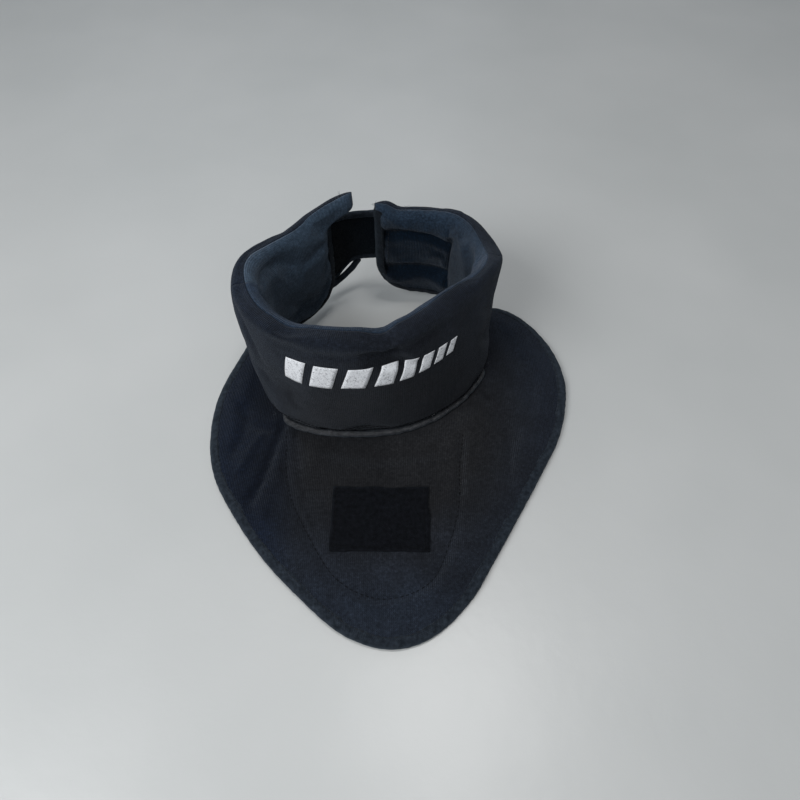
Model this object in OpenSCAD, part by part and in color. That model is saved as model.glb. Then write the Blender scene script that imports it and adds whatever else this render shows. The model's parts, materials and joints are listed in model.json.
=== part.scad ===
// Bib-style neck guard: a padded collar standing on a flat padded bib, closed at the back
// by a shaped hook-and-loop tab. Millimetres, +Z up, bib lying on the plane z = 0, its tip
// towards -Y, the wearer's right hand side towards -X.

/* [Collar] */
// Half width of the collar's foot ring, outside
collar_half_width = 75; // [72:1:78]
// Half depth of the collar's foot ring, outside
collar_half_depth = 63; // [60:1:66]
// Turn of the collar on the bib, degrees
collar_turn = 8; // [4:1:10]
// Height of the collar at the front
collar_front_height = 93; // [85:1:100]
// Height of the collar at its right back end
collar_back_height = 81; // [76:1:90]
// How much higher the left back end stands
left_end_rise = 6; // [2:1:8]
// Thickness of the padded collar wall
collar_wall = 12; // [10:0.5:14]
// Angle on the ring where the left half ends
left_end_angle = 111; // [108:1:114]
// Angle on the ring where the right half ends
right_end_angle = 84; // [82:1:87]
// Inward lean of the collar wall at the front right, from foot to top
front_right_lean = 8; // [2:1:12]

/* [Bib] */
// Thickness of the padded bib
bib_thickness = 6; // [5:0.5:7]
// Width of the binding tape that shows on the bib's top
binding_width = 6.5; // [5:0.5:8]
// Thickness of the bound edge
binding_thickness = 4.6; // [4:0.2:5]
// Y of the line where the bib bends
bend_y = -18; // [-22:1:-16]

/* [Tapes] */
// Width of the hook-and-loop tapes
tape_width = 38; // [36:1:40]
// Length of the loop patch on the bib
patch_length = 54; // [50:1:60]
// Thickness of the loop tape
loop_tape = 1.5; // [1.2:0.1:1.8]
// Thickness of the hook tape
hook_tape = 1.1; // [0.9:0.1:1.3]
// Thickness of the closure tab's woven back
tab_back = 1.4; // [1.2:0.1:1.6]

/* [Fabrics] */
// Thickness of the knitted cover fabric
cover_fabric = 1.1; // [0.8:0.1:1.4]
// Thickness of the woven cut resistant liner
cut_liner = 0.6; // [0.4:0.1:0.8]
// Radius of the seam piping
piping_radius = 1.5; // [1.2:0.1:1.8]

/* [Hidden] */

knit_black = [0.13, 0.13, 0.15];
lining_black = [0.15, 0.17, 0.2];
edge_blue = [0.17, 0.21, 0.27];
foam_grey = [0.5, 0.5, 0.52];
liner_yellow = [0.78, 0.7, 0.42];
tape_black = [0.05, 0.06, 0.07];
thread_grey = [0.28, 0.3, 0.33];
mark_white = [0.9, 0.9, 0.92];

ring_centre = [-12, 59.1];
// The worn collar is pushed askew: extra squareness of the ring in each quarter turn
ring_squareness = [1, -0.5, 0.5, -0.15];
collar_foot = 6.3;          // the front stands on the bib
wing_foot = 7.6;            // the wings hang clear above the bib
wall_round = 4.5;           // rounding of the wall's top and bottom corners
layer_gap = 0.05;
tape_gap = 0.15;            // tapes sewn on the outside of the curved wall
left_split = 188;           // ring angles of the two side bends
right_split = -2;
split_gap = 0.4;            // half gap at a side bend, degrees
edge_band = 6;              // width of the binding on the wings' edges
edge_band_thickness = 4;
left_rate = 0.87;           // degrees of ring angle per millimetre at the left end
right_rate = -0.6;          // and at the right end, where the angle falls
tab_rate = 0.7;             // and along the tab
corner_radius = 28;         // rounded lower corner of each wing's end
corner_turn = 60;           // how far round it the foam goes before its square end
tab_low = 29;               // lower edge of the narrow part of the closure tab
tab_high = tab_low + tape_width;
tab_start = left_end_angle - 1.6;
tab_end = 56;
bend_gap = 2;               // half gap in the bib at the bend line
station_step = 5;            // pieces share ring angles, so their facets stay parallel

function backwards(list) = [for (i = [len(list) - 1:-1:0]) list[i]];

// ---- the collar ring: t is the ring angle, d the depth below the outer face ----
function turned(p) = [ring_centre[0] + p[0] * cos(collar_turn) - p[1] * sin(collar_turn),
                      ring_centre[1] + p[0] * sin(collar_turn) + p[1] * cos(collar_turn)];
function bent(v, power) = sign(v) * pow(abs(v), power);
// A superellipse whose exponent changes from quarter to quarter
function on_ring(t, outward) =
    let (quarter = floor((t + 360) / 90) % 4,
         power = 2 / (2 + ring_squareness[quarter] * abs(sin(2 * t))))
    turned([(collar_half_width + outward) * bent(cos(t), power),
            (collar_half_depth + outward) * bent(sin(t), power)]);
function bump(t, centre, half) =
    let (u = abs(t - centre) / half) u >= 1 ? 0 : pow(cos(90 * u), 2);
function lean(t) = -front_right_lean * bump(t, 312, 52);
function top_height(t) =
    collar_front_height + (collar_back_height - collar_front_height) * (1 + sin(t)) / 2
    + (t > 95 ? left_end_rise * bump(max(t, left_end_angle), left_end_angle, 30) : 0);
function place(t, d, z) =
    let (p = on_ring(t, lean(t) * (z - wing_foot) / collar_back_height - d)) [p[0], p[1], z];

// Ring angles from t0 to t1: both ends and the shared angles between them
function stations(t0, t1) =
    let (low = min(t0, t1), high = max(t0, t1),
         shared = [for (t = [-10:station_step:360]) if (t > low + 0.9 && t < high - 0.9) t])
    concat([t0], t1 > t0 ? shared : backwards(shared), [t1]);
// Angles that crowd towards t1, for a rounded corner of r millimetres
function corner_stations(t1, r, rate, last = 90) = [for (a = [15:15:last]) t1 + r * rate * (1 - sin(a))];

// Height of a wing's lower edge, which turns up round its end's corner
function wing_low(t, end_t, rate, inset) =
    let (r = corner_radius - inset,
         s = (t - end_t) / rate,
         u = max(0, min(1, (r - s) / r)))
    wing_foot + inset + r * (1 - sqrt(max(0, 1 - u * u)));

function corner(cx, cz, r, a0, a1) = [for (i = [0:3]) let (a = a0 + (a1 - a0) * i / 3)
    [cx + r * cos(a), cz + r * sin(a)]];
// Closed rounded box in depth and height
function round_box(d0, d1, z0, z1, r) = concat(
    corner(d1 - r, z1 - r, r, 0, 90), corner(d0 + r, z1 - r, r, 90, 180),
    corner(d0 + r, z0 + r, r, 180, 270), corner(d1 - r, z0 + r, r, 270, 360));
function plate(d0, d1, z0, z1) = [[d1, z0], [d1, z1], [d0, z1], [d0, z0]];
// The cover wraps the wall's top, outer face and bottom and is open on the inner face
function cover_section(z0, z1) =
    let (w = collar_wall, r = wall_round, c = cover_fabric)
    concat(round_box(0, w, z0, z1, r),
           [for (i = [15:-1:0]) round_box(c, w - c, z0 + c, z1 - c, r - c)[i]]);
function lining_section(z0, z1) =
    plate(collar_wall - cover_fabric, collar_wall,
          z0 + wall_round + layer_gap, z1 - wall_round - layer_gap);
function foam_section(z0, z1) =
    let (c = cover_fabric + layer_gap)
    round_box(c + cut_liner + layer_gap, collar_wall - c, z0 + c, z1 - c, wall_round - c);
function liner_section(z0, z1) =
    plate(cover_fabric + layer_gap, cover_fabric + layer_gap + cut_liner,
          z0 + wall_round, z1 - wall_round);

// Solid skin over rings of points, capped at both ends. Every quad is cut along the diagonal
// that rises with the path, so neighbouring layers of a leaning wall stay parallel. The caps
// are strips between a section's two halves, which also suits the cover's hollow section.
module skin(rings) {
    n = len(rings[0]);
    last = len(rings) - 1;
    sides = [for (i = [0:last - 1]) for (j = [0:n - 1])
        let (k = (j + 1) % n, a = i * n + j, b = i * n + k)
        each (rings[i][k][2] > rings[i][j][2]
            ? [[a, b + n, b], [a, a + n, b + n]]
            : [[a, a + n, b], [b, a + n, b + n]])];
    cap = [for (j = [0:n / 2 - 2])
        each [[j, j + 1, n - 1 - j], [j + 1, n - 2 - j, n - 1 - j]]];
    polyhedron([for (ring = rings) each ring],
        concat(sides, cap, [for (f = cap) [for (v = [2:-1:0]) last * n + f[v]]]));
}
front_angles = stations(left_split + split_gap, 360 + right_split - split_gap);
left_angles = concat(stations(left_split - split_gap, left_end_angle + 27),
    corner_stations(left_end_angle + edge_band * left_rate, corner_radius - edge_band, left_rate,
                    corner_turn));
right_angles = concat(stations(right_split + split_gap, right_end_angle - 20),
    corner_stations(right_end_angle + edge_band * right_rate, corner_radius - edge_band,
                    right_rate, corner_turn));

function front_ring(t, kind) = section(kind, collar_foot, top_height(t));
function wing_ring(t, kind, end_t, rate) =
    section(kind, wing_low(t, end_t + edge_band * rate, rate, edge_band), top_height(t));
function section(kind, z0, z1) =
    kind == "cover" ? cover_section(z0, z1) :
    kind == "lining" ? lining_section(z0, z1) :
    kind == "foam" ? foam_section(z0, z1) : liner_section(z0, z1);

module front_wall(kind)
    skin([for (t = front_angles) [for (p = front_ring(t, kind)) place(t, p[0], p[1])]]);
module left_wall(kind)
    skin([for (t = backwards(left_angles))
        [for (p = wing_ring(t, kind, left_end_angle, left_rate)) place(t, p[0], p[1])]]);
module right_wall(kind)
    skin([for (t = right_angles)
        [for (p = wing_ring(t, kind, right_end_angle, right_rate)) place(t, p[0], p[1])]]);

// ---- edge tapes: a strip between two paths of [angle, height] points ----
module edge_tape(outer, inner, d0, d1, falling = false) {
    rings = [for (i = [0:len(outer) - 1])
        [place(outer[i][0], d0, outer[i][1]), place(outer[i][0], d1, outer[i][1]),
         place(inner[i][0], d1, inner[i][1]), place(inner[i][0], d0, inner[i][1])]];
    skin(falling ? rings : backwards(rings));
}
// Path along a wing's foot, round its corner and up its end, inset millimetres inside
function wing_edge(split_t, end_t, rate, inset) =
    let (r = corner_radius, q = r - inset, limit = inset > 0 ? corner_turn : 90)
    concat([for (t = stations(split_t, end_t + r * rate)) [t, wing_foot + inset]],
           [for (a = [15:15:90]) [end_t + (r - q * sin(min(a, limit))) * rate,
                                  wing_foot + r - q * cos(a)]],
           [[end_t + (r - q * sin(limit)) * rate, top_height(end_t) - 2]]);
module wing_binding(split_t, end_t, rate)
    edge_tape(wing_edge(split_t, end_t, rate, 0),
              wing_edge(split_t, end_t, rate, edge_band - 2 * layer_gap),
              (collar_wall - edge_band_thickness) / 2,
              (collar_wall + edge_band_thickness) / 2, rate < 0);

// ---- closure tab: depths are negative because it lies outside the collar ----
loop_top = -tape_gap - loop_tape;
hook_inner = loop_top - 0.35;
hook_outer = hook_inner - hook_tape;
back_inner = hook_outer - layer_gap;
back_outer = back_inner - tab_back;
tab_round = 8;
tab_edge = 3;
tab_flare = 13;             // how far the tab widens downwards at its root
tab_flare_degrees = 16;
function tab_lower(t) = tab_low - tab_flare * bump(t, tab_start, tab_flare_degrees);
function tab_bite(t, inset) =
    let (r = tab_round - inset, s = (t - tab_end) / tab_rate - inset,
         u = max(0, min(1, (r - s) / r))) r * (1 - sqrt(max(0, 1 - u * u)));
tab_angles = concat(stations(tab_start, tab_end + 10),
    corner_stations(tab_end + tab_edge * tab_rate, tab_round - tab_edge, tab_rate));
module tab_layer(d0, d1, inset)
    skin([for (t = backwards(tab_angles))
        [for (p = plate(d0, d1, tab_lower(t) + inset + tab_bite(t, inset),
                        tab_high - inset - tab_bite(t, inset))) place(t, p[0], p[1])]]);
function tab_outline(inset) =
    let (q = tab_round - inset, k = tab_rate, along = stations(tab_start, tab_end + 10))
    concat([for (t = along) [t, tab_lower(t) + inset]],
           [for (a = [15:15:90]) [tab_end + tab_round * k - q * k * sin(a),
                                  tab_low + tab_round - q * cos(a)]],
           [for (a = [90:-15:15]) [tab_end + tab_round * k - q * k * sin(a),
                                   tab_high - tab_round + q * cos(a)]],
           [for (t = backwards(along)) [t, tab_high - inset]]);

// ---- the bib ----
bib_points = [[0, -128], [22, -122], [42, -104], [56, -83], [71, -59], [88, -31],
    [103, -4], [111.4, 26], [111, 50], [103, 74], [88, 94], [70, 103], [57, 97],
    [53, 82], [55, 62], [53, 42], [43, 22], [23, 8], [-5, 3], [-34, 6], [-55, 20],
    [-66, 42], [-67, 64], [-64, 84], [-67, 98], [-80, 99], [-93, 82], [-103, 54],
    [-111, 25], [-111, -5], [-104, -32], [-88, -58], [-68, -83], [-46, -104], [-24, -121]];
function rounded(points, steps) = let (n = len(points))
    [for (i = [0:n - 1]) for (k = [0:steps - 1])
        let (u = k / steps, a = points[(i + n - 1) % n], b = points[i],
             c = points[(i + 1) % n], e = points[(i + 2) % n])
        0.5 * (2 * b + (c - a) * u + (2 * a - 5 * b + 4 * c - e) * u * u
               + (3 * b - a - 3 * c + e) * u * u * u)];
function inward(points, inset) = let (n = len(points))
    [for (i = [0:n - 1])
        let (v = points[(i + 1) % n] - points[(i + n - 1) % n])
        points[i] + inset * [-v[1], v[0]] / norm(v)];
bib_outline = rounded(bib_points, 4);
bib_field = inward(bib_outline, binding_width);
backing_top = 0.8;
cover_top = bib_thickness;
foam_top = cover_top - cover_fabric;

module bib_plate(z0, z1)
    translate([0, 0, z0]) linear_extrude(z1 - z0) polygon(bib_field);
module bib_edge()
    difference() {
        linear_extrude(binding_thickness) polygon(bib_outline);
        translate([0, 0, -1])
            linear_extrude(binding_thickness + 2) polygon(inward(bib_field, -layer_gap));
    }
module behind_bend()
    intersection() {
        children();
        translate([-150, bend_y + bend_gap, -5]) cube([300, 200, 20]);
    }
module ahead_of_bend()
    intersection() {
        children();
        translate([-150, bend_y - bend_gap - 200, -5]) cube([300, 200, 20]);
    }

// Shield shaped pad that fills a window in the flap's foam
pad_points = [[40, -26], [38, -52], [31, -76], [20, -96], [-4, -104], [-28, -94],
              [-46, -68], [-58, -44], [-62, -26]];
module pad_shape(grow)
    polygon([for (p = pad_points) let (c = [-9, -62], v = p - c) p + grow * v / norm(v)]);

patch_centre = [-6, -60];
patch_top = bib_thickness + layer_gap + loop_tape;
module patch_box(inset, z0, z1)
    translate([patch_centre[0] - patch_length / 2 + inset,
               patch_centre[1] - tape_width / 2 + inset, z0])
        cube([patch_length - 2 * inset, tape_width - 2 * inset, z1 - z0]);

// ---- nodes ----
module collar_front_cover() { color(knit_black) front_wall("cover"); }
module collar_front_lining() { color(lining_black) front_wall("lining"); }
module collar_front_foam() { color(foam_grey) front_wall("foam"); }
module collar_front_cut_liner() { color(liner_yellow) front_wall("liner"); }

// Piping tape along the seam that joins the collar's foot to the bib
piping_height = collar_foot + 1.2;
module collar_seam_piping() {
    color(edge_blue) skin([for (t = stations(217, 338))
        [for (a = [0:45:315]) place(t, -0.1 - piping_radius * (1 - cos(a)),
                                    piping_height + piping_radius * sin(a))]]);
}

// Printed mark: slanted bars that shrink towards the right
mark_bars = [[230, 12, 18], [243, 11, 17], [255, 10, 15.5], [266, 9, 14], [276, 8, 12.5],
             [285, 7, 11], [293, 6, 10], [300, 5, 9]];
mark_middle = 65;
mark_rate = 0.8;
module front_mark() {
    color(mark_white) for (bar = mark_bars) {
        slant = 3;
        low = mark_middle - bar[2] / 2;
        high = mark_middle + bar[2] / 2;
        width = bar[1] * mark_rate;
        skin([for (t = [bar[0], bar[0] + width / 2, bar[0] + width])
            [place(t, -0.45, low), place(t, -0.25, low),
             place(t + slant, -0.25, high), place(t + slant, -0.45, high)]]);
    }
}

module bib_yoke_cover() {
    color(knit_black) behind_bend() bib_plate(foam_top + layer_gap, cover_top);
}
module bib_yoke_foam() {
    color(foam_grey) behind_bend() bib_plate(backing_top + layer_gap, foam_top);
}
module bib_yoke_backing() { color(lining_black) behind_bend() bib_plate(0, backing_top); }
module bib_yoke_binding() { color(edge_blue) behind_bend() bib_edge(); }

module left_wing_cover() { color(knit_black) left_wall("cover"); }
module left_wing_lining() { color(lining_black) left_wall("lining"); }
module left_wing_foam() { color(foam_grey) left_wall("foam"); }
module left_wing_cut_liner() { color(liner_yellow) left_wall("liner"); }
module left_wing_binding() {
    color(edge_blue) wing_binding(left_split - split_gap, left_end_angle, left_rate);
}

// The closure tab's root, sewn flat on the outside of the left wing
anchor_low = 26;
anchor_from = left_end_angle + 5.5;
anchor_to = left_end_angle + 19;
module tab_anchor() {
    color(tape_black) skin([for (t = stations(anchor_from, anchor_to))
        [for (p = plate(-tape_gap - tab_back, -tape_gap, anchor_low, tab_high))
            place(t, p[0], p[1])]]);
}
stitch_height = 0.35;
// Sewn rectangle of thread on a ring surface at depth d
module ring_stitch(t0, t1, z0, z1, d) {
    thread = 0.8;
    side = thread * tab_rate;
    for (z = [z0, z1 - thread])
        skin([for (t = stations(t0, t1))
            [for (p = plate(d - stitch_height, d, z, z + thread)) place(t, p[0], p[1])]]);
    for (t = [t0, t1 - side])
        skin([for (u = [t, t + side])
            [for (p = plate(d - stitch_height, d, z0 + thread + layer_gap,
                            z1 - thread - layer_gap)) place(u, p[0], p[1])]]);
}
module tab_anchor_stitching() {
    color(thread_grey) ring_stitch(anchor_from + 2, anchor_to - 2, anchor_low + 3, tab_high - 3,
                                   -2 * tape_gap - tab_back);
}

module closure_tab_back() { color(knit_black) tab_layer(back_outer, back_inner, tab_edge); }
module closure_tab_hooks() { color(tape_black) tab_layer(hook_outer, hook_inner, tab_edge); }
module closure_tab_binding() {
    color(edge_blue) edge_tape(tab_outline(0), tab_outline(tab_edge - layer_gap),
                               back_outer, hook_inner);
}

module right_wing_cover() { color(knit_black) right_wall("cover"); }
module right_wing_lining() { color(lining_black) right_wall("lining"); }
module right_wing_foam() { color(foam_grey) right_wall("foam"); }
module right_wing_cut_liner() { color(liner_yellow) right_wall("liner"); }
module right_wing_binding() {
    color(edge_blue) wing_binding(right_split + split_gap, right_end_angle, right_rate);
}
patch_from = 38;
patch_to = right_end_angle - 4;
module right_loop_patch() {
    color(tape_black) skin([for (t = stations(patch_from, patch_to))
        [for (p = plate(loop_top, -tape_gap, tab_low, tab_high)) place(t, p[0], p[1])]]);
}
// The patch's stitches come through on the inner face as a sewn rectangle
module right_patch_stitching() {
    color(thread_grey) ring_stitch(patch_from + 2, patch_to - 5, tab_low + 2.5, tab_high - 2.5,
                                   collar_wall + stitch_height + tape_gap);
}

module bib_flap_cover() {
    color(knit_black) ahead_of_bend() bib_plate(foam_top + layer_gap, cover_top);
}
module bib_flap_foam() {
    color(foam_grey) difference() {
        ahead_of_bend() bib_plate(backing_top + layer_gap, foam_top);
        translate([0, 0, -1]) linear_extrude(bib_thickness + 2) pad_shape(0.1);
    }
}
module bib_flap_backing() { color(lining_black) ahead_of_bend() bib_plate(0, backing_top); }
module bib_flap_binding() { color(edge_blue) ahead_of_bend() bib_edge(); }
module bib_center_pad() {
    color(foam_grey) translate([0, 0, backing_top + layer_gap])
        linear_extrude(foam_top - backing_top - layer_gap) pad_shape(0);
}
module bib_loop_patch() {
    color(tape_black) difference() {
        patch_box(0, bib_thickness + layer_gap, patch_top);
        stitch_frame(layer_gap, patch_top - stitch_height - 2 * layer_gap, patch_top + 1);
    }
}
// The patch's stitches pull down into its pile
module stitch_frame(grow, z0, z1) {
    difference() {
        patch_box(2 - grow, z0, z1);
        patch_box(2.8 + grow, z0 - 1, z1 + 1);
    }
}
module bib_patch_stitching() {
    color(thread_grey)
        stitch_frame(0, patch_top - stitch_height - layer_gap, patch_top - layer_gap);
}

collar_front_cover();
collar_front_lining();
collar_front_foam();
collar_front_cut_liner();
collar_seam_piping();
front_mark();
bib_yoke_cover();
bib_yoke_foam();
bib_yoke_backing();
bib_yoke_binding();
left_wing_cover();
left_wing_lining();
left_wing_foam();
left_wing_cut_liner();
left_wing_binding();
tab_anchor();
tab_anchor_stitching();
closure_tab_back();
closure_tab_hooks();
closure_tab_binding();
right_wing_cover();
right_wing_lining();
right_wing_foam();
right_wing_cut_liner();
right_wing_binding();
right_loop_patch();
right_patch_stitching();
bib_flap_cover();
bib_flap_foam();
bib_flap_backing();
bib_flap_binding();
bib_center_pad();
bib_loop_patch();
bib_patch_stitching();
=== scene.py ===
"""Bib-style neck guard: a foam collar on a padded bib, closed by a hook-and-loop tab."""
import json
import math
import random
from contextlib import contextmanager

import bmesh
import bpy
import numpy as np
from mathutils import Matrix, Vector, geometry, noise
from mathutils.bvhtree import BVHTree


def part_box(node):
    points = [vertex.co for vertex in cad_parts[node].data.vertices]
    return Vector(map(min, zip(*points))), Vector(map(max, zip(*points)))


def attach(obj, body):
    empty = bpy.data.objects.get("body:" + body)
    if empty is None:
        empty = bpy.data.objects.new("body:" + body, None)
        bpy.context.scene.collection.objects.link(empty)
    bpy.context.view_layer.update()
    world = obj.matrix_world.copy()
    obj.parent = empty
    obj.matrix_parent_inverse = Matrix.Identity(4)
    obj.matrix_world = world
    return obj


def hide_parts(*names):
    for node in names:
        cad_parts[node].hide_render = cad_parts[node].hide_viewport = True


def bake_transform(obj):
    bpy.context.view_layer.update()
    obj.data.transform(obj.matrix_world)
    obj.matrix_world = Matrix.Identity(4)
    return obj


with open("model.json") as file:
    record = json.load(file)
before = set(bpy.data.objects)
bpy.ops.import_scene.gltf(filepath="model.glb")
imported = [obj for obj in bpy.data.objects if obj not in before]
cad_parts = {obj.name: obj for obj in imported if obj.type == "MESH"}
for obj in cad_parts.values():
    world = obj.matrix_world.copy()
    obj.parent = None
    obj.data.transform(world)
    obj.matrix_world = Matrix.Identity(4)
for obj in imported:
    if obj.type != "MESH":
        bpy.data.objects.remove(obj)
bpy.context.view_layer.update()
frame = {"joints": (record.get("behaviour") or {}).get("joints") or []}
joints = {joint["name"]: joint for joint in frame["joints"]}
scene = bpy.context.scene
mm = 0.001

# ---------------------------------------------------------------- table, camera and light
# The guard lies on a pale painted table top under a large soft ceiling light.

camera = bpy.data.objects.new("camera", bpy.data.cameras.new("camera"))
camera.data.lens = 27.05
camera.data.sensor_width = 36
camera.data.clip_start = 0.01
camera.location = (0.005, -0.197, 0.316)
camera.rotation_euler = (math.radians(35), 0, 0)
scene.collection.objects.link(camera)
scene.camera = camera


def new_material(name):
    """A material, its node tree and the object coordinates that its texture reads."""
    material = bpy.data.materials.new(name)
    material.use_nodes = True
    tree = material.node_tree
    return material, tree, add_node(tree, "ShaderNodeTexCoord").outputs["Object"]


def add_node(tree, kind, values=(), **settings):
    """New node with its settings and the values of its inputs."""
    node = tree.nodes.new(kind)
    for key, value in settings.items():
        setattr(node, key, value)
    for label, value in dict(values).items():
        node.inputs[label].default_value = value
    return node


def calc(operation, first, second=None):
    """Math node on a socket and a socket or number; returns its output."""
    tree = first.id_data
    node = add_node(tree, "ShaderNodeMath", operation=operation)
    tree.links.new(first, node.inputs[0])
    if hasattr(second, "is_linked"):
        tree.links.new(second, node.inputs[1])
    elif second is not None:
        node.inputs[1].default_value = second
    return node.outputs[0]


def grain(source, scale, detail=3.0, roughness=0.55):
    """Noise texture over a vector; returns its factor."""
    tree = source.id_data
    node = add_node(tree, "ShaderNodeTexNoise",
                    {"Scale": scale, "Detail": detail, "Roughness": roughness})
    tree.links.new(source, node.inputs["Vector"])
    return node.outputs["Fac"]


def ramp(factor, *stops):
    """Colour ramp over factor; stops are (position, colour)."""
    tree = factor.id_data
    node = add_node(tree, "ShaderNodeValToRGB")
    while len(node.color_ramp.elements) < len(stops):
        node.color_ramp.elements.new(0.5)
    for element, (position, colour) in zip(node.color_ramp.elements, stops):
        element.position = position
        element.color = (*colour, 1)
    tree.links.new(factor, node.inputs["Fac"])
    return node.outputs["Color"]


def bump(height, distance, strength=1.0, normal=None):
    tree = height.id_data
    node = add_node(tree, "ShaderNodeBump", {"Strength": strength, "Distance": distance})
    tree.links.new(height, node.inputs["Height"])
    if normal is not None:
        tree.links.new(normal, node.inputs["Normal"])
    return node.outputs["Normal"]


def set_surface(tree, colour, normal, rough, specular=0.5, sheen=0.0, spread=0.5, tint=(1, 1, 1)):
    """Wires a material's shader and sets its values; sheen is the fuzz on cloth."""
    shader = tree.nodes["Principled BSDF"]
    tree.links.new(colour, shader.inputs["Base Color"])
    tree.links.new(normal, shader.inputs["Normal"])
    for label, value in (("Roughness", rough), ("Specular IOR Level", specular),
                         ("Sheen Weight", sheen), ("Sheen Roughness", spread),
                         ("Sheen Tint", (*tint, 1))):
        shader.inputs[label].default_value = value


def painted_table():
    material, tree, spot = new_material("painted_table")
    colour = ramp(grain(spot, 5), (0.3, (0.47, 0.48, 0.475)), (0.75, (0.53, 0.535, 0.53)))
    set_surface(tree, colour, bump(grain(spot, 60, 6), 0.0002), 0.36)
    return material


TABLE_REACH = 2.0
floor_mesh = bpy.data.meshes.new("table_top")
floor_mesh.from_pydata([(x * TABLE_REACH, y * TABLE_REACH, 0) for x, y in
                        ((-1, -1), (1, -1), (1, 1), (-1, 1))], [], [(0, 1, 2, 3)])
floor = bpy.data.objects.new("table_top", floor_mesh)
floor.location.z = -0.2 * mm         # just clear of the bib's backing
floor_mesh.materials.append(painted_table())
scene.collection.objects.link(floor)


def soft_light(name, place, aim, size, power, colour):
    light = bpy.data.lights.new(name, "AREA")
    light.shape = "RECTANGLE"
    light.size, light.size_y = size
    light.energy = power
    light.color = colour
    lamp = bpy.data.objects.new(name, light)
    lamp.location = place
    lamp.rotation_euler = (Vector(aim) - Vector(place)).to_track_quat("-Z", "Y").to_euler()
    scene.collection.objects.link(lamp)


soft_light("ceiling_panel", (-0.55, -0.48, 0.70), (-0.05, 0, 0), (0.6, 0.5), 7.2, (0.97, 0.99, 1))
soft_light("far_window", (-0.3, 1.3, 0.9), (0, 0.1, 0.05), (1.2, 0.8), 1.8, (0.80, 0.91, 1))
soft_light("lamp_glow", (0.13, 0.07, 1.5), (0.03, -0.15, 0), (0.36, 0.30), 6.2, (1, 0.99, 0.98))
world = bpy.data.worlds.new("room")
world.use_nodes = True
world.node_tree.nodes["Background"].inputs["Color"].default_value = (0.90, 0.95, 1, 1)
world.node_tree.nodes["Background"].inputs["Strength"].default_value = 0.27
scene.world = world
scene.view_settings.view_transform = "Standard"

# ---------------------------------------------------------------- the collar's padded wall
# A ring of closed-cell foam about 12 mm thick between a knitted cover and a lining. Its top
# edge is rolled. The front stands on the bib; the two halves behind the side bends are free.

RING_CENTRE = (-12 * mm, 59.1 * mm)
HALF_WIDTH = 75 * mm
HALF_DEPTH = 63 * mm
TURN = math.radians(8)
SQUARENESS = (1.0, -0.5, 0.5, -0.15)    # of each quarter turn of the ring, pushed askew
WALL = 12 * mm
FRONT_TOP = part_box("collar_front_cover")[1].z
BACK_TOP = 81 * mm
FRONT_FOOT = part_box("collar_front_cover")[0].z
WING_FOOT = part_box("right_wing_binding")[0].z
LEFT_SPLIT, RIGHT_SPLIT = 188, -2
LEFT_END, RIGHT_END = 111, 84
LEFT_RISE = 6 * mm                       # the left half stands higher at its end
LEFT_RATE, RIGHT_RATE = 0.87 / mm, -0.60 / mm   # ring degrees per metre near each end
CORNER = 28 * mm                         # rounded lower corner at the back of each half
ROLL = 5.8 * mm


def bell(value, centre, half):
    """Smooth bump from 0 to 1 and back, half wide on each side of its centre."""
    reach = abs(value - centre) / half
    return 0.0 if reach >= 1 else math.cos(math.pi / 2 * reach) ** 2


def ease(value):
    value = min(1.0, max(0.0, value))
    return value * value * (3 - 2 * value)


def ring(angle, outward):
    """Point on the ring at an angle in degrees, outward of the wall's outer face."""
    power = 2 / (2 + SQUARENESS[int((angle + 360) // 90) % 4]
                 * abs(math.sin(math.radians(2 * angle))))
    c, s = math.cos(math.radians(angle)), math.sin(math.radians(angle))
    x = (HALF_WIDTH + outward) * math.copysign(abs(c) ** power, c)
    y = (HALF_DEPTH + outward) * math.copysign(abs(s) ** power, s)
    return (RING_CENTRE[0] + x * math.cos(TURN) - y * math.sin(TURN),
            RING_CENTRE[1] + x * math.sin(TURN) + y * math.cos(TURN))


def lean(angle):
    """How far the wall's top leans outward of its foot."""
    angle %= 360
    return -8 * mm * bell(angle, 312, 52) - 1.5 * mm * bell(angle, 225, 40)


def place(angle, outward, height):
    tilt = lean(angle) * (height - WING_FOOT) / (BACK_TOP - WING_FOOT)
    x, y = ring(angle, outward + tilt)
    return Vector((x, y, height))


def top_of(angle):
    """Height of the rolled edge: high in front, lower at the back, with a dip mid-front."""
    share = (1 + math.sin(math.radians(angle))) / 2
    turn = angle % 360
    dip = 2.6 * mm * bell(turn, 270, 10) + 1.4 * mm * bell(turn, 232, 14)
    rise = LEFT_RISE * bell(max(turn, LEFT_END), LEFT_END, 30) if turn > 95 else 0.0
    rise += 3 * mm * bell(turn, LEFT_END, 9)
    near = turn - 360 if turn > 270 else turn
    if near < 95:       # the right half's roll sags between its side bend and its end
        rise -= 4.5 * mm * ease((near + 14) / 24) * ease((RIGHT_END - 4 - near) / 6)
    return FRONT_TOP + (BACK_TOP - FRONT_TOP) * share + rise - dip


def edge_distance(angle, height, end, rate):
    """Distance in from a half's bound edge: its foot, rounded corner and end."""
    along = (angle - end) / rate
    up = height - WING_FOOT
    if along < CORNER and up < CORNER:
        return CORNER - math.hypot(CORNER - along, CORNER - up)
    return min(along, up)


def pinch(distance, rim=1.7 * mm, full=WALL / 2, run=13 * mm):
    """Half thickness of foam that is pinched into a bound edge."""
    share = min(1.0, max(0.0, distance / run))
    return rim + (full - rim) * math.sqrt(1 - (1 - share) ** 2)


LEVELS, ROLL_POINTS = 30, 10         # points up each face and over the roll
THINNEST = 0.4 * mm


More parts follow.
